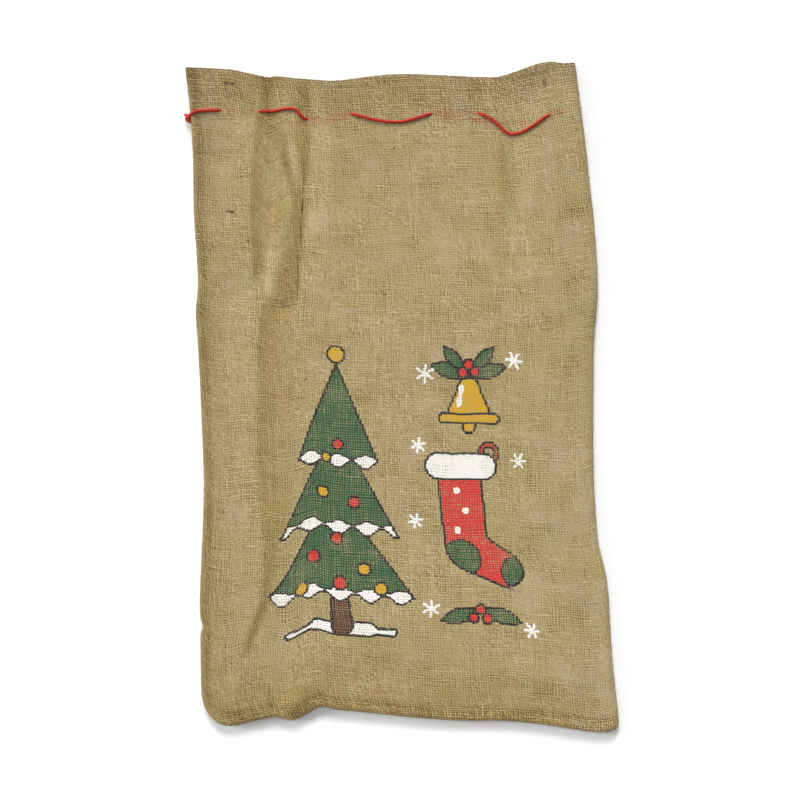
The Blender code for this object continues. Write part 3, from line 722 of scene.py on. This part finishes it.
weave = {
    "pitch": 2.45 * mm,
    "width": 0.69,  # of a thread, as a share of the pitch
    "narrower": {"seam": 0.22, "rim": 0.15, "beneath": 0.15},  # threads in these places
    "slantWider": 0.10,
    # All waves are per m
    "wander": ((21.0, 4.0), (75.0, 1.6), (430.0, 1.1)),  # of the threads: waves, mm
    "spacing": 1.0,  # how unevenly the threads lie side by side
    "spacingWaves": (150.0, 20.0),  # across and along the threads
    "unevenness": 0.75,  # of a thread's own width
    "threadWaves": 26.0,
    "openness": 0.55,
    "openWaves": 38.0,
    "round": 0.58,  # how round a thread is
    "rise": 0.55,  # how far it rises over the one it crosses
    "slantRise": 0.35,  # how much more the crosswise threads stand out where they slant
    "fibreWaves": (260.0, 3600.0),
    "grain": 0.45,
    "grainWaves": 620.0,
    "knobs": 0.26,  # how far the crossings differ in tone
    "holes": 1.0,  # how far the gaps between threads differ
    # How far the tone follows threads and fibres, the contrast of it all, and more at the rim and the seam
    "tones": {"thread": 0.34, "fibre": 0.36, "all": 1.15, "rim": 0.75, "seam": 0.35},
    "dark": (0.24, (0.235, 0.168, 0.070)), "mid": (0.50, (0.350, 0.272, 0.126)),
    "light": (0.76, (0.430, 0.355, 0.200)),
    # painted shade: the bag's dark inside, seen through the gaps between threads
    "gap": (0.070, 0.037, 0.001),
    "deep": (0.50, (0.150, 0.090, 0.014)),  # painted shade low between the threads: how much, colour
    "patchWaves": 26.0,
    "bandWaves": (9.0, 85.0),  # of patches along the threads
    "bands": (0.56, 0.30),  # their middle and strength
    "haze": (0.40, (0.350, 0.285, 0.190)), "olive": (0.42, (0.325, 0.268, 0.098)),
    "rust": (0.35, (0.345, 0.236, 0.108)),
    # From nothing to full: each kind of patch, then what depends on the height of the threads
    "hazeFrom": (0.46, 0.72), "oliveFrom": (0.44, 0.66), "rustFrom": (0.52, 0.75),
    "recessShadeFrom": (0.75, -0.35), "gapFrom": (-0.10, -0.40), "inkFrom": (0.60, 1.05),
    "gapDark": 0.96,
    "hazeLess": {"golden": 0.12, "gap": 0.12, "open": 0.08},
    "oliveOpen": 0.07,
    "golden": (0.9, (1.0, 0.93, 0.74)),  # golden tint: painted shade on slopes away from the light
    "goldenRim": 0.4,
    "string": (0.08, (0.230, 0.017, 0.009)),  # seen through the cloth
    "seam": 16 * mm, "foot": 21 * mm,  # widths of the coarse bands
    "rimBand": 60 * mm,  # darker below the rim
    "shades": {"all": 1.03, "seam": 0.06, "rim": 0.13},
    "roughness": 0.93,
    "bump": 0.55, "depth": 0.40 * mm, "fibreBump": 0.25,
}

# Stains on the cloth, and painted shade along the right crease and the cross step, mm on the lying bag: x,
# y, half length, half width, degrees, colour, strength
stainsAndCreaseShade = (
    (-175.0, 313.4, 3.6, 2.0, -14, (0.115, 0.060, 0.036), 0.95),
    (-168.6, 312.4, 3.2, 1.6, 24, (0.100, 0.050, 0.030), 0.95),
    (142.5, 313.5, 2.2, 5.6, 0, (0.17, 0.100, 0.055), 0.80),
    (-171.5, 185.0, 5.5, 1.3, -8, (0.095, 0.052, 0.016), 0.85),
    (-169.5, 184.4, 2.4, 1.9, -10, (0.070, 0.036, 0.010), 0.9),
    # The next five are painted shade along the right crease and the cross step
    (-98.9, 190.0, 10.0, 1.2, 84, (0.080, 0.052, 0.012), 0.85),
    (-97.6, 222.0, 24.0, 1.3, 88, (0.130, 0.085, 0.025), 0.45),
    (-100.6, 166.0, 16.0, 1.3, 86, (0.110, 0.070, 0.022), 0.60),
    (-103.4, 122.0, 30.0, 1.4, 87, (0.120, 0.075, 0.022), 0.55),
    (-117.0, 90.5, 13.0, 1.0, 0, (0.120, 0.070, 0.020), 0.45),
    (175.0, 267.0, 0.9, 2.2, 20, (0.100, 0.060, 0.020), 0.5),
    (-95.5, 18.0, 1.6, 1.3, 0, (0.05, 0.03, 0.015), 0.8),
    (-178.0, -115.0, 1.5, 1.3, 0, (0.07, 0.04, 0.02), 0.8),
    (-7.5, 248.0, 2.6, 1.2, 40, (0.05, 0.03, 0.02), 0.6),
    (175.0, 103.0, 5.5, 2.0, 0, (0.30, 0.12, 0.03), 0.4),
    (-116.5, -240.0, 9.0, 7.0, 0, (0.40, 0.33, 0.24), 0.3),
)


class Cloth:  # places on the flat cloth, and what varies over it
    def __init__(self, start):
        self.start = start
        self.flat = start.node("UVMap", {"uv_map": "cloth"}, {})
        self.x, self.y, _ = self.flat.apart()
        lies = start.node("Attribute", {"attribute_name": "lie"}, {}, 1)
        self.golden, self.dull, self.slant = lies.apart()
        self.beneath = start.node("Attribute", {"attribute_name": "beneath"}, {}, 2)
        self.findThreads()
        self.findPatches()

    def stretched(self, often, seldom, detail=1.0):  # noise in streaks
        place = self.start.together(self.x * often, self.y * seldom)
        return place.noise(1.0, detail, dimensions="2D")

    def findThreads(self):  # whole numbers lie between two threads
        moved = self.flat
        for often, far in weave["wander"]:
            moved = moved.plus(self.flat.noise(often, 1.0, output=1).centred().scaled(far * mm))
        s, t, _ = moved.scaled(1 / weave["pitch"]).apart()
        across, along = weave["spacingWaves"]
        self.s = s + (self.stretched(across, along) - 0.5) * weave["spacing"]
        self.t = t + (self.stretched(along, across) - 0.5) * weave["spacing"]
        self.column, self.row = self.s.math("FLOOR"), self.t.math("FLOOR")
        self.knob = self.start.together(self.column, self.row).chance()
        self.hole = self.start.together((self.s + 0.5).math("FLOOR"), (self.t + 0.5).math("FLOOR")).chance()

    def findPatches(self):  # pale and full, olive and open, or rusty, some of them along the threads
        hazeAt, oliveAt, rustAt = self.flat.noise(weave["patchWaves"], 3.0, output=1).apart()
        seldom, often = weave["bandWaves"]
        alongWeft = self.stretched(seldom, often, 2.0)
        place = self.start.together(self.x * often, self.y * seldom + 3.7)
        alongWarp = place.noise(1.0, 2.0, dimensions="2D")
        middle, strength = weave["bands"]
        bands = (alongWeft.math("MAXIMUM", alongWarp) - middle) * strength
        self.haze = (hazeAt + bands - self.golden * weave["hazeLess"]["golden"]).ease(*weave["hazeFrom"])
        self.olive = (oliveAt - bands).ease(*weave["oliveFrom"])
        self.rust = rustAt.ease(*weave["rustFrom"])
        side, foot = weave["seam"], weave["foot"]
        self.seam = self.x.ease(side, side * 0.6).math("MAXIMUM", self.y.ease(foot, foot * 0.7))
        self.rim = self.y.ease(clothHeight - weave["rimBand"], clothHeight)
        openness = (self.flat.noise(weave["openWaves"], 2.0) - 0.5) * weave["openness"]
        openness = openness + self.olive * weave["oliveOpen"] - self.haze * weave["hazeLess"]["open"]
        less = weave["narrower"]
        width = weave["width"] - openness - self.seam * less["seam"] - self.rim * less["rim"]
        width = width - self.beneath * less["beneath"]
        self.threadWidth = width + self.slant * weave["slantWider"]


def layThreads(cloth):  # height of the cloth, tone of the threads and of their fibres
    def thread(number, length, across):  # profile of the threads one way and their tone
        place = cloth.start.together(number * 7.31, length * weave["threadWaves"])
        thick, tone, _ = place.noise(1.0, 2.0, output=1, dimensions="2D").apart()
        width = (cloth.threadWidth + (thick - 0.5) * weave["unevenness"]).math("MINIMUM", 1.02)
        away = (across - number - 0.5) / width
        return 1.0 - away * away * 4.0, tone

    warp, warpTone = thread(cloth.column, cloth.y, cloth.s)
    weft, weftTone = thread(cloth.row + 631.0, cloth.x, cloth.t + 631.0)
    over = (cloth.s * math.pi).math("SINE") * (cloth.t * math.pi).math("SINE") * weave["rise"]
    over = over - cloth.slant * weave["slantRise"]
    warpTop = (warp * weave["round"] + over).math("MINIMUM", warp * 6.0)
    weftTop = (weft * weave["round"] - over).math("MINIMUM", weft * 6.0)
    onWarp = warpTop.math("GREATER_THAN", weftTop)
    height = warpTop.math("MAXIMUM", weftTop).math("MAXIMUM", -0.6)
    along, across = weave["fibreWaves"]
    fibres = onWarp.mix(cloth.start.together(cloth.x * along, cloth.y * across),
                        cloth.start.together(cloth.x * across, cloth.y * along))
    return height, onWarp * (warpTone - weftTone) + weftTone, fibres.noise(1.0, 1.0, dimensions="2D") - 0.5


def threadColour(cloth, height, tone, streak):
    tones = weave["tones"]
    grain = (cloth.flat.noise(weave["grainWaves"], 1.0) - 0.5) * weave["grain"]
    tone = (tone - 0.5) * tones["thread"] + streak * tones["fibre"]
    tone = tone + (cloth.knob - 0.5) * weave["knobs"] + grain
    tone = tone * (tones["all"] + cloth.rim * tones["rim"] + cloth.seam * tones["seam"]) + 0.50
    stops = (weave["dark"], weave["mid"], weave["light"])
    colour = tone.node("ValToRGB", {"stops": stops}, {0: tone})
    # Pale, olive and rusty patches of the cloth, then painted shade low between the threads
    for place, kind in ((cloth.haze, "haze"), (cloth.olive, "olive"), (cloth.rust, "rust"),
                        (height.ease(*weave["recessShadeFrom"]), "deep")):
        amount, tint = weave[kind]
        colour = (place * amount).mix(colour, (*tint, 1.0))
    return colour


def layStainsAndCreaseShade(cloth, colour, spot):
    for mx, my, half, width, degrees, stainAndShadeColour, strength in stainsAndCreaseShade:
        turn = math.radians(degrees)
        cos, sin = math.cos(turn) / mm, math.sin(turn) / mm
        off = cloth.flat.vector("SUBTRACT", (*spot(mx, my), 0))
        ahead = off.vector("DOT_PRODUCT", (cos / half, sin / half, 0), output=1)
        aside = off.vector("DOT_PRODUCT", (-sin / width, cos / width, 0), output=1)
        near = (ahead * ahead + aside * aside).ease(1.3, 0.2) * strength
        colour = near.mix(colour, (*stainAndShadeColour, 1.0))
    return colour


def printOn(cloth, height, streak):  # ink, where threads take it, and where the picture is
    stepped = cloth.start.together(cloth.column - cloth.s + 0.5, cloth.row - cloth.t + 0.5)
    often, far = picture["jitter"]
    jitter = cloth.flat.noise(often, 1.0, output=1).centred().scaled(far * mm)
    inked = cloth.flat.vector("SUBTRACT", (*picture["middle"], 0)).plus(jitter)
    inked = inked.plus(stepped.scaled(weave["pitch"] * picture["stepped"]))
    ink, cover = layPicture(inked.scaled(1 / mm))
    within = cover.ease(0.0, 0.2)
    return ink, (height + cover * 1.3 + streak * 0.6).ease(*weave["inkFrom"]) * within, within


def burlapMaterial(name, printed, spot):
    material, start, shader = newMaterial(name, weave["roughness"], weave["mid"][1])
    cloth = Cloth(start)
    height, tone, streak = layThreads(cloth)
    colour = layStainsAndCreaseShade(cloth, threadColour(cloth, height, tone, streak), spot)
    stringShare, stringTint = weave["string"]
    # In the gaps: the painted shade of the inside, dark red over the hidden string
    behind = cloth.beneath.mix((*weave["gap"], 1.0), (*stringTint, 1.0))
    if printed:  # bare sides of the threads show in the gaps
        ink, soaked, within = printOn(cloth, height, streak)
        colour = soaked.mix(colour, ink)
        behind = within.mix(behind, (*picture["bare"], 1.0))
    colour = (cloth.beneath * stringShare).mix(colour, (*stringTint, 1.0))
    # Golden tint of painted shade on slopes away from the light, on the ridge and along the painted shade
    # lines; also near the left edge, the foot and below the rim
    goldenShare, goldenTint = weave["golden"]
    golden = cloth.golden.math("MAXIMUM", cloth.rim * weave["goldenRim"]) * goldenShare
    colour = golden.mix(colour, (*goldenTint, 1.0), "MULTIPLY")
    shades = weave["shades"]
    # Darker along the seam and below the rim, with the painted shade and painted light of the lie attribute
    shade = (1.0 - cloth.seam * shades["seam"]) * (1.0 - cloth.dull)
    shade = shade * (shades["all"] - cloth.rim * shades["rim"])
    # The gaps between the threads take that painted shade
    gap = (height - (cloth.hole - 0.5) * weave["holes"]).ease(*weave["gapFrom"])
    gap = gap * (weave["gapDark"] - cloth.haze * weave["hazeLess"]["gap"])
    plug(gap.mix(colour.scaled(shade), behind), shader, "Base Color")
    raised(height + streak * weave["fibreBump"], shader, weave["bump"], weave["depth"])
    return material


# The string seen from above, mm: x, y
frontString = (
    (-209.5, 283.6), (-203.5, 285.6), (-190, 286.2), (-176, 286.2), (-160, 285.4), (-144, 285),
    (-129.5, 285), (-120.7, 286.6), (-110.9, 287.8), (-105.2, 286.6), (-101.7, 282.6), (-98.3, 278.4),
    (-92, 277), (-72, 279.6), (-51.2, 282.3), (-35.7, 278.6), (-21.3, 275.5), (-7, 274.3),
    (4.5, 275.2), (16, 278.6), (31.5, 283), (46, 284.6), (62, 284.2), (75.7, 283.2),
    (84.3, 280.3), (92.4, 275.2), (99.9, 268.3), (105, 264), (110.5, 262.2), (120.7, 264.5),
    (132.2, 271.4), (140.8, 277.7), (148.3, 282), (158, 284.6), (166, 285.4),
)
backString = (
    (166, 278.4), (158, 277.6), (146, 276), (122, 274.2), (98, 274.6), (72, 276.6),
    (44, 278.6), (14, 277.4), (-20, 277), (-52, 278.8), (-82, 274.4), (-112, 273.2),
    (-138, 276), (-162, 279.6), (-184, 279.4), (-202, 277.4), (-209.5, 277.6),
)
string = {
    "radius": 1.65 * mm,
    "clear": -0.90 * mm,  # sunk in the soft cloth
    "floorClear": 0.1 * mm,
    "frontHoles": (-182.0, -141.0, -96.0, -49.0, 29.0, 78.0, 146.0),  # mm, x of each
    "backHoles": (160.0, 134.0, 44.0, -52.0, -112.0, -162.0, -186.0),
    "holeReach": 4.2 * mm,
    "turn": 173.2 * mm,  # x where it turns back inside the bag
    "ends": ((-212.3, 281.4, 6.4), (-212.7, 278.4, 3.6)),
    "plies": 3,
    "plyDepth": 0.13,
    "twist": 7.5 * mm,  # length of one turn of the plies
    "step": 0.7 * mm,
    "sides": 18,
    "ramp": ((0.15, (0.13, 0.005, 0.003)), (0.50, (0.31, 0.015, 0.009)), (0.85, (0.43, 0.034, 0.018))),
    "hairs": (14.0, 1900.0, 500.0, 5.0),  # waves per turn round, waves per m along
}
knot = {  # mm
    "size": 1.12,  # of the string's radius, where it is knotted
    "tailSize": 0.94,
    "step": 0.35,
    "turns": (
        (-209.7, 281.5, 6.2), (-211.9, 281.9, 5.8), (-214.3, 280.5, 5), (-214.7, 277.9, 4),
        (-212.7, 276.3, 3.4), (-210.5, 277.1, 4), (-209.9, 279.3, 5.4), (-211.7, 280.7, 6.6),
        (-213.7, 279.5, 6.2), (-213.3, 277.3, 5.2), (-211.3, 276.9, 5), (-211.3, 278.9, 6.2),
        (-212.7, 278.9, 6),
    ),
    "tails": (
        ((-210.7, 278.9, 4.6), (-210.7, 277.1, 3.8), (-211.1, 275.7, 3), (-210.9, 274.5, 2.2)),
        ((-213.5, 280.5, 5), (-215.1, 281.3, 4.2), (-215.9, 282.1, 3.2), (-216.3, 282.9, 2.4)),
    ),
}


def headings(points):  # unit vectors along a line
    ahead = np.gradient(points, axis=0)
    return ahead / np.linalg.norm(ahead, axis=1)[:, None]


def carriedSides(ahead):  # unit vectors across a line, carried along it without spin
    side = np.cross(ahead[0], (0.3, 0.2, 1.0))
    sides = []
    for way in ahead:
        side = side - way * np.dot(side, way)
        side = side / np.linalg.norm(side)
        sides.append(side)
    return np.array(sides)


def tubeMesh(points, radii, sides, plies=0, plyDepth=0.0, twist=1.0):  # mesh and uv of a closed tube
    points, radii = np.asarray(points, float), np.broadcast_to(radii, len(points))
    count, length, ahead = len(points), runLength(points), headings(points)
    side = carriedSides(ahead)
    up = np.cross(ahead, side)
    k = np.arange(sides)
    angle = k / sides * 2 * math.pi
    lobes = np.ones((1, sides))
    if plies:
        turned = angle[None] - length[:, None] / twist * 2 * math.pi
        lobes = 1 - plyDepth + plyDepth * np.abs(np.cos(plies / 2 * turned))
    size = radii[:, None] * lobes
    out = np.cos(angle)[None, :, None] * side[:, None] + np.sin(angle)[None, :, None] * up[:, None]
    ring = points[:, None] + size[..., None] * out
    corners = np.vstack([ring.reshape(-1, 3), points[:1], points[-1:]])
    rings = np.arange(count - 1)[:, None] * sides
    a, b = (rings + k).ravel(), (rings + (k + 1) % sides).ravel()
    faces = np.stack([a, b, b + sides, a + sides], axis=1)
    first, last = count * sides, (count - 1) * sides
    caps = [(first, (j + 1) % sides, j) for j in k]
    caps += [(first + 1, last + j, last + (j + 1) % sides) for j in k]
    u = np.tile(k / sides, count - 1)
    v = np.repeat(length[:-1], sides)
    step = np.repeat(np.diff(length), sides)
    uvs = [np.stack([u + du / sides, v + step * dv], 1) for du, dv in ((0, 0), (1, 0), (1, 1), (0, 1))]
    capUvs = [(0.5, 0.0)] * (3 * sides) + [(0.5, length[-1])] * (3 * sides)
    return corners, faces, caps, np.stack(uvs, axis=1).reshape(-1, 2), np.array(capUvs)


def threadObject(name, tubes):  # several tubes as one piece
    corners, faces, uvs, base = [], [], [], 0
    for points, quads, caps, quadUvs, capUvs in tubes:
        corners.append(points)
        faces += (quads + base).tolist() + [[v + base for v in cap] for cap in caps]
        uvs += [quadUvs, capUvs]
        base += len(points)
    mesh = bpy.data.meshes.new(name)
    mesh.from_pydata(np.vstack(corners).tolist(), [], faces)
    mesh.uv_layers.new(name="thread").data.foreach_set("uv", np.vstack(uvs).ravel())
    mesh.polygons.foreach_set("use_smooth", np.ones(len(faces), bool))
    thing = bpy.data.objects.new(name, mesh)
    bpy.context.collection.objects.link(thing)
    return thing


def eased(points, rounds):
    points = points.copy()
    for _ in range(rounds):
        points[1:-1] = 0.25 * points[:-2] + 0.5 * points[1:-1] + 0.25 * points[2:]
    return points


def resampled(points, step):
    length = runLength(points)
    at = np.linspace(0, length[-1], max(2, int(length[-1] / step)))
    return np.stack([np.interp(at, length, column) for column in points.T], axis=-1)


def sideOf(x, holes, outside):  # 1 outside the cloth, -1 inside, turning at each hole
    side = np.full(len(x), 1.0 if outside else -1.0)
    travel = 1.0 if holes[-1] > holes[0] else -1.0
    reach = string["holeReach"]
    for k, hole in enumerate(holes):
        passed = smooth((travel * (x - hole * mm) + reach) / (2 * reach))
        side += (-2.0 if (k % 2 == 0) == outside else 2.0) * passed
    return side


def stringRoute():
    front, back = lineThrough(frontString, 1 * mm), lineThrough(backString, 1 * mm)
    away = bag["cloth"] / 2 + string["clear"] + string["radius"]
    frontHeights = outerHeights(front)[1] - bag["cloth"] / 2
    backHeights = outerHeights(back)[0] + bag["cloth"] / 2
    front = np.column_stack([front, frontHeights + away * sideOf(front[:, 0], string["frontHoles"], True)])
    back = np.column_stack([back, backHeights - away * sideOf(back[:, 0], string["backHoles"], False)])
    back[:, 2] = np.maximum(back[:, 2], string["radius"] + string["floorClear"])
    bulge, turn = string["turn"] - front[-1, 0], []
    for degrees in (75, 45, 15, -15, -45, -75):
        angle = math.radians(degrees)
        across = back[0, 1:] + (front[-1, 1:] - back[0, 1:]) * (1 + math.sin(angle)) / 2
        turn.append((front[-1, 0] + bulge * math.cos(angle), *across))
    ends = np.array(string["ends"]) * mm
    return np.vstack([ends[:1], front, turn, back, ends[1:]])


def makeString(shift):
    lay = {name: string[name] for name in ("sides", "plies", "plyDepth", "twist")}
    route = resampled(eased(resampled(eased(stringRoute(), 3), 1 * mm), 4), string["step"]) + shift
    tubes = [tubeMesh(route, string["radius"], **lay)]
    for rows, size in ((knot["turns"], knot["size"]), *((tail, knot["tailSize"]) for tail in knot["tails"])):
        run = resampled(lineThrough(rows, 0.3 * mm), knot["step"] * mm) + shift
        tubes.append(tubeMesh(run, string["radius"] * size, **lay))
    return threadObject("redDrawstring", tubes)


def finishThread(shader, tone, ramp, hairs):
    plug(tone.node("ValToRGB", {"stops": ramp}, {0: tone}), shader, "Base Color")
    raised(hairs, shader, 0.4, 0.2 * mm)


def stringMaterial():
    material, start, shader = newMaterial("redCottonString", 0.75, (0.45, 0.025, 0.022))
    around, length, _ = start.node("UVMap", {"uv_map": "thread"}, {}).apart()
    turn = around * string["plies"] - length * (string["plies"] / string["twist"])
    groove = abs((turn * math.pi).math("COSINE"))
    round1, along1, along2, round2 = string["hairs"]
    place = start.together(around * round1 - length * along1, length * along2 + around * round2)
    hairs = place.noise(1.0, 2.0, dimensions="2D")
    # Brighter on the crowns of the plies, painted shade in the grooves between them
    tone = hairs * 0.55 + groove.ease(0.0, 0.6) * 0.40
    shader.inputs["Specular IOR Level"].default_value = 0.2
    finishThread(shader, tone, string["ramp"], hairs)
    return material


# Threads that loop round an edge. "in" is how far in from it they start, as a share of "out".
selvage = {
    "radius": 0.42 * mm, "out": 0.50 * mm, "in": 0.1,
    "tall": 0.62 * mm, "pitch": 4.9 * mm, "step": 0.55 * mm,
}
nubs = {
    "radius": 0.50 * mm, "out": 0.42 * mm, "in": 0.75,
    "tall": 0.42 * mm, "pitch": 2.6 * mm, "step": 0.45 * mm,
}


def waver(rng, length, reach, step, far):  # random, smooth along a line
    at = np.arange(0, reach, step)
    return np.interp(length, at, rng.normal(0, far, len(at)))


def looped(run, length, outwards, kind, phase, size):
    out = np.cross((0, 0, outwards), headings(run))
    phase = phase + length / kind["pitch"] * 2 * math.pi
    points = run + out * ((np.cos(phase) * size - kind["in"]) * kind["out"])[:, None]
    points[:, 2] += np.sin(phase) * kind["tall"]
    return tubeMesh(points, kind["radius"], 6)


def makeSelvage(front, back):  # round the rim of both panels
    rng = np.random.default_rng(5)
    tubes = []
    for grid, sign in ((front, -1), (back, 1)):
        line = grid[-1, 2:-2] + np.array([0, 0, sign * bag["cloth"] / 2])
        run = resampled(line, selvage["step"])
        length = np.arange(len(run)) * selvage["step"]
        for start in (0.0, math.pi):
            phase = start + waver(rng, length, 0.5, 5 * mm, 0.5)
            size = 1 + waver(rng, length, 0.5, 4 * mm, 0.25)
            tubes.append(looped(run, length, 1, selvage, phase, size))
    return threadObject("rimSelvage", tubes)


def makeEdgeNubs(front, back):  # round the seam, the fold and the foot
    rng = np.random.default_rng(8)
    tubes = []
    middle = (front + back) / 2
    for line, outwards in ((middle[2:-1, 0], 1), (middle[2:-1, -1], -1), (middle[0, 2:-2], -1)):
        run = resampled(line, nubs["step"])
        length = np.arange(len(run)) * nubs["step"]
        size = 1 + waver(rng, length, 1.0, 3 * mm, 0.5)
        tubes.append(looped(run, length, outwards, nubs, waver(rng, length, 1.0, 6 * mm, 0.9), size))
    return threadObject("edgeNubs", tubes)


juteThread = {
    "hairs": (6.0, 900.0, 300.0), "lengths": 60.0,  # waves per turn round, waves per m along
    "shares": (0.7, 0.3),  # of each in the tone
    "ramp": ((0.2, (0.09, 0.058, 0.022)), (0.5, (0.18, 0.125, 0.055)), (0.8, (0.30, 0.23, 0.12))),
}


def juteThreadMaterial():
    material, start, shader = newMaterial("juteThread", weave["roughness"], weave["mid"][1])
    around, length, _ = start.node("UVMap", {"uv_map": "thread"}, {}).apart()
    round1, along1, along2 = juteThread["hairs"]
    place = start.together(around * round1 - length * along1, length * along2)
    hairs = place.noise(1.0, 2.0, dimensions="2D")
    lengths = start.together(length * juteThread["lengths"], around).noise(1.0, 1.0, dimensions="2D")
    tone = hairs * juteThread["shares"][0] + lengths * juteThread["shares"][1]
    finishThread(shader, tone, juteThread["ramp"], hairs)
    return material


fuzz = {
    "count": 150, "edgeCount": 260,
    "radius": 0.055 * mm,
    "steps": 6,
    "long": (4, 13), "edgeLong": (1.2, 3.6),  # mm
}


def hairLine(rng, start, heading, length, steep):  # points of a bent hair
    steps, bend = fuzz["steps"], rng.normal(0, 0.35)
    points = [start]
    for _ in range(steps):
        heading += bend + rng.normal(0, 0.12)
        rise = rng.normal(0, 0.10) if steep else 0.0
        points.append(points[-1] + length / steps * np.array([math.cos(heading), math.sin(heading), rise]))
    return np.array(points)


def makeFibres(front):  # loose jute hairs on the front and along the edges
    rng = np.random.default_rng(11)
    rows, columns = front.shape[:2]
    flat = front[:, :, :2].reshape(-1, 2)
    tubes = []
    for k in range(fuzz["count"] + fuzz["edgeCount"]):
        atEdge = k >= fuzz["count"]
        j = rng.integers(3, rows - 3)
        if atEdge:
            i = (1, columns - 2)[rng.integers(2)]
            length = rng.uniform(*fuzz["edgeLong"]) * mm
            heading = math.pi * (i == 1) + rng.normal(0, 0.7)
        else:
            i = rng.integers(6, columns - 6)
            length, heading = rng.uniform(*fuzz["long"]) * mm, rng.uniform(0, 2 * math.pi)
        points = hairLine(rng, front[j, i] + (0, 0, 0.25 * mm), heading, length, atEdge)
        if not atEdge:  # lies on the cloth
            for point in points:
                near = np.abs(flat - point[:2]).sum(axis=1).argmin()
                point[2] = front.reshape(-1, 3)[near, 2] + rng.uniform(0.10, 0.35) * mm
        tubes.append(tubeMesh(eased(points, 1), fuzz["radius"] * rng.uniform(0.8, 1.5), 4))
    return threadObject("looseFibres", tubes)


print("making the bag")
burlapBag, front, back, places, clothWidth, clothHeight, shift = makeBag()


def spotOnCloth(x, y):  # flat place of a point on the lying front panel
    off = np.array([x, y]) * mm + shift[:2] - front.reshape(-1, 3)[:, :2]
    near = np.abs(off).sum(axis=1).argmin()
    return places.reshape(-1, 2)[near] + off[near]


burlapBag.data.materials.append(burlapMaterial("burlapPrinted", True, spotOnCloth))
burlapBag.data.materials.append(burlapMaterial("burlapPlain", False, spotOnCloth))
print("making string, rim and fibres")
redString = makeString(shift)
redString.data.materials.append(stringMaterial())
jute = juteThreadMaterial()
rimSelvage = makeSelvage(front, back)
edgeNubs = makeEdgeNubs(front, back)
looseFibres = makeFibres(front)
for piece in (rimSelvage, edgeNubs, looseFibres):
    piece.data.materials.append(jute)

studio = {
    "ambient": 0.50,
    # Lamps: degrees round from +X and above the floor, strength, softness in degrees
    "lamps": {"sideLamp": (170, 16, 3.0, 24), "topLamp": (94, 27, 4.3, 28)},
    "floor": 0.90, "floorGrain": 0.985,
    "floorDrop": 0.15 * mm,  # below the bag
    "lens": 144.0, "sensor": 36.0,
    "camera": (-1.5 * mm, -3.0 * mm, 3.2 + 6 * mm),
}


def makeFloor():
    bpy.ops.mesh.primitive_plane_add(size=12)
    floor = bpy.context.object
    floor.name = "paleFloor"
    floor.location.z = -studio["floorDrop"]
    pale = studio["floor"]
    material, start, shader = newMaterial("palePaper", 0.9, (pale,) * 3)
    grain = start.node("TexCoord", {}, {}, 3).noise(900.0, 2.0)
    stops = ((0.3, (pale * studio["floorGrain"],) * 3), (0.7, (pale,) * 3))
    plug(grain.node("ValToRGB", {"stops": stops}, {0: grain}), shader, "Base Color")
    floor.data.materials.append(material)
    return floor


def makeLight(scene):
    scene.world = bpy.data.worlds.new("softLight")
    scene.world.use_nodes = True
    background = scene.world.node_tree.nodes["Background"]
    background.inputs["Color"].default_value = (1, 1, 1, 1)
    background.inputs["Strength"].default_value = studio["ambient"]
    for name, (azimuth, elevation, strength, softness) in studio["lamps"].items():
        lamp = bpy.data.lights.new(name, "SUN")
        lamp.energy, lamp.angle = strength, math.radians(softness)
        holder = bpy.data.objects.new(name, lamp)
        holder.rotation_euler = (0, math.radians(90 - elevation), math.radians(azimuth))
        scene.collection.objects.link(holder)


def makeCamera(scene):
    camera = bpy.data.cameras.new("overhead")
    camera.lens, camera.sensor_width = studio["lens"], studio["sensor"]
    holder = bpy.data.objects.new("overhead", camera)
    holder.location = np.array(studio["camera"]) + (*shift[:2], 0)
    scene.collection.objects.link(holder)
    scene.camera = holder
    scene.view_settings.view_transform = "Standard"


floor = makeFloor()
makeLight(bpy.context.scene)
makeCamera(bpy.context.scene)
for piece, slot in ((burlapBag, "burlap"), (rimSelvage, "burlap"), (edgeNubs, "burlap"),
                    (looseFibres, "burlap"), (redString, "red_string")):
    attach(piece, "root")
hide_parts("bag")
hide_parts("drawstring")
2 * clothWidth

bpy.context.view_layer.update()
print("cloth", round(clothWidth, 4), round(clothHeight, 4))
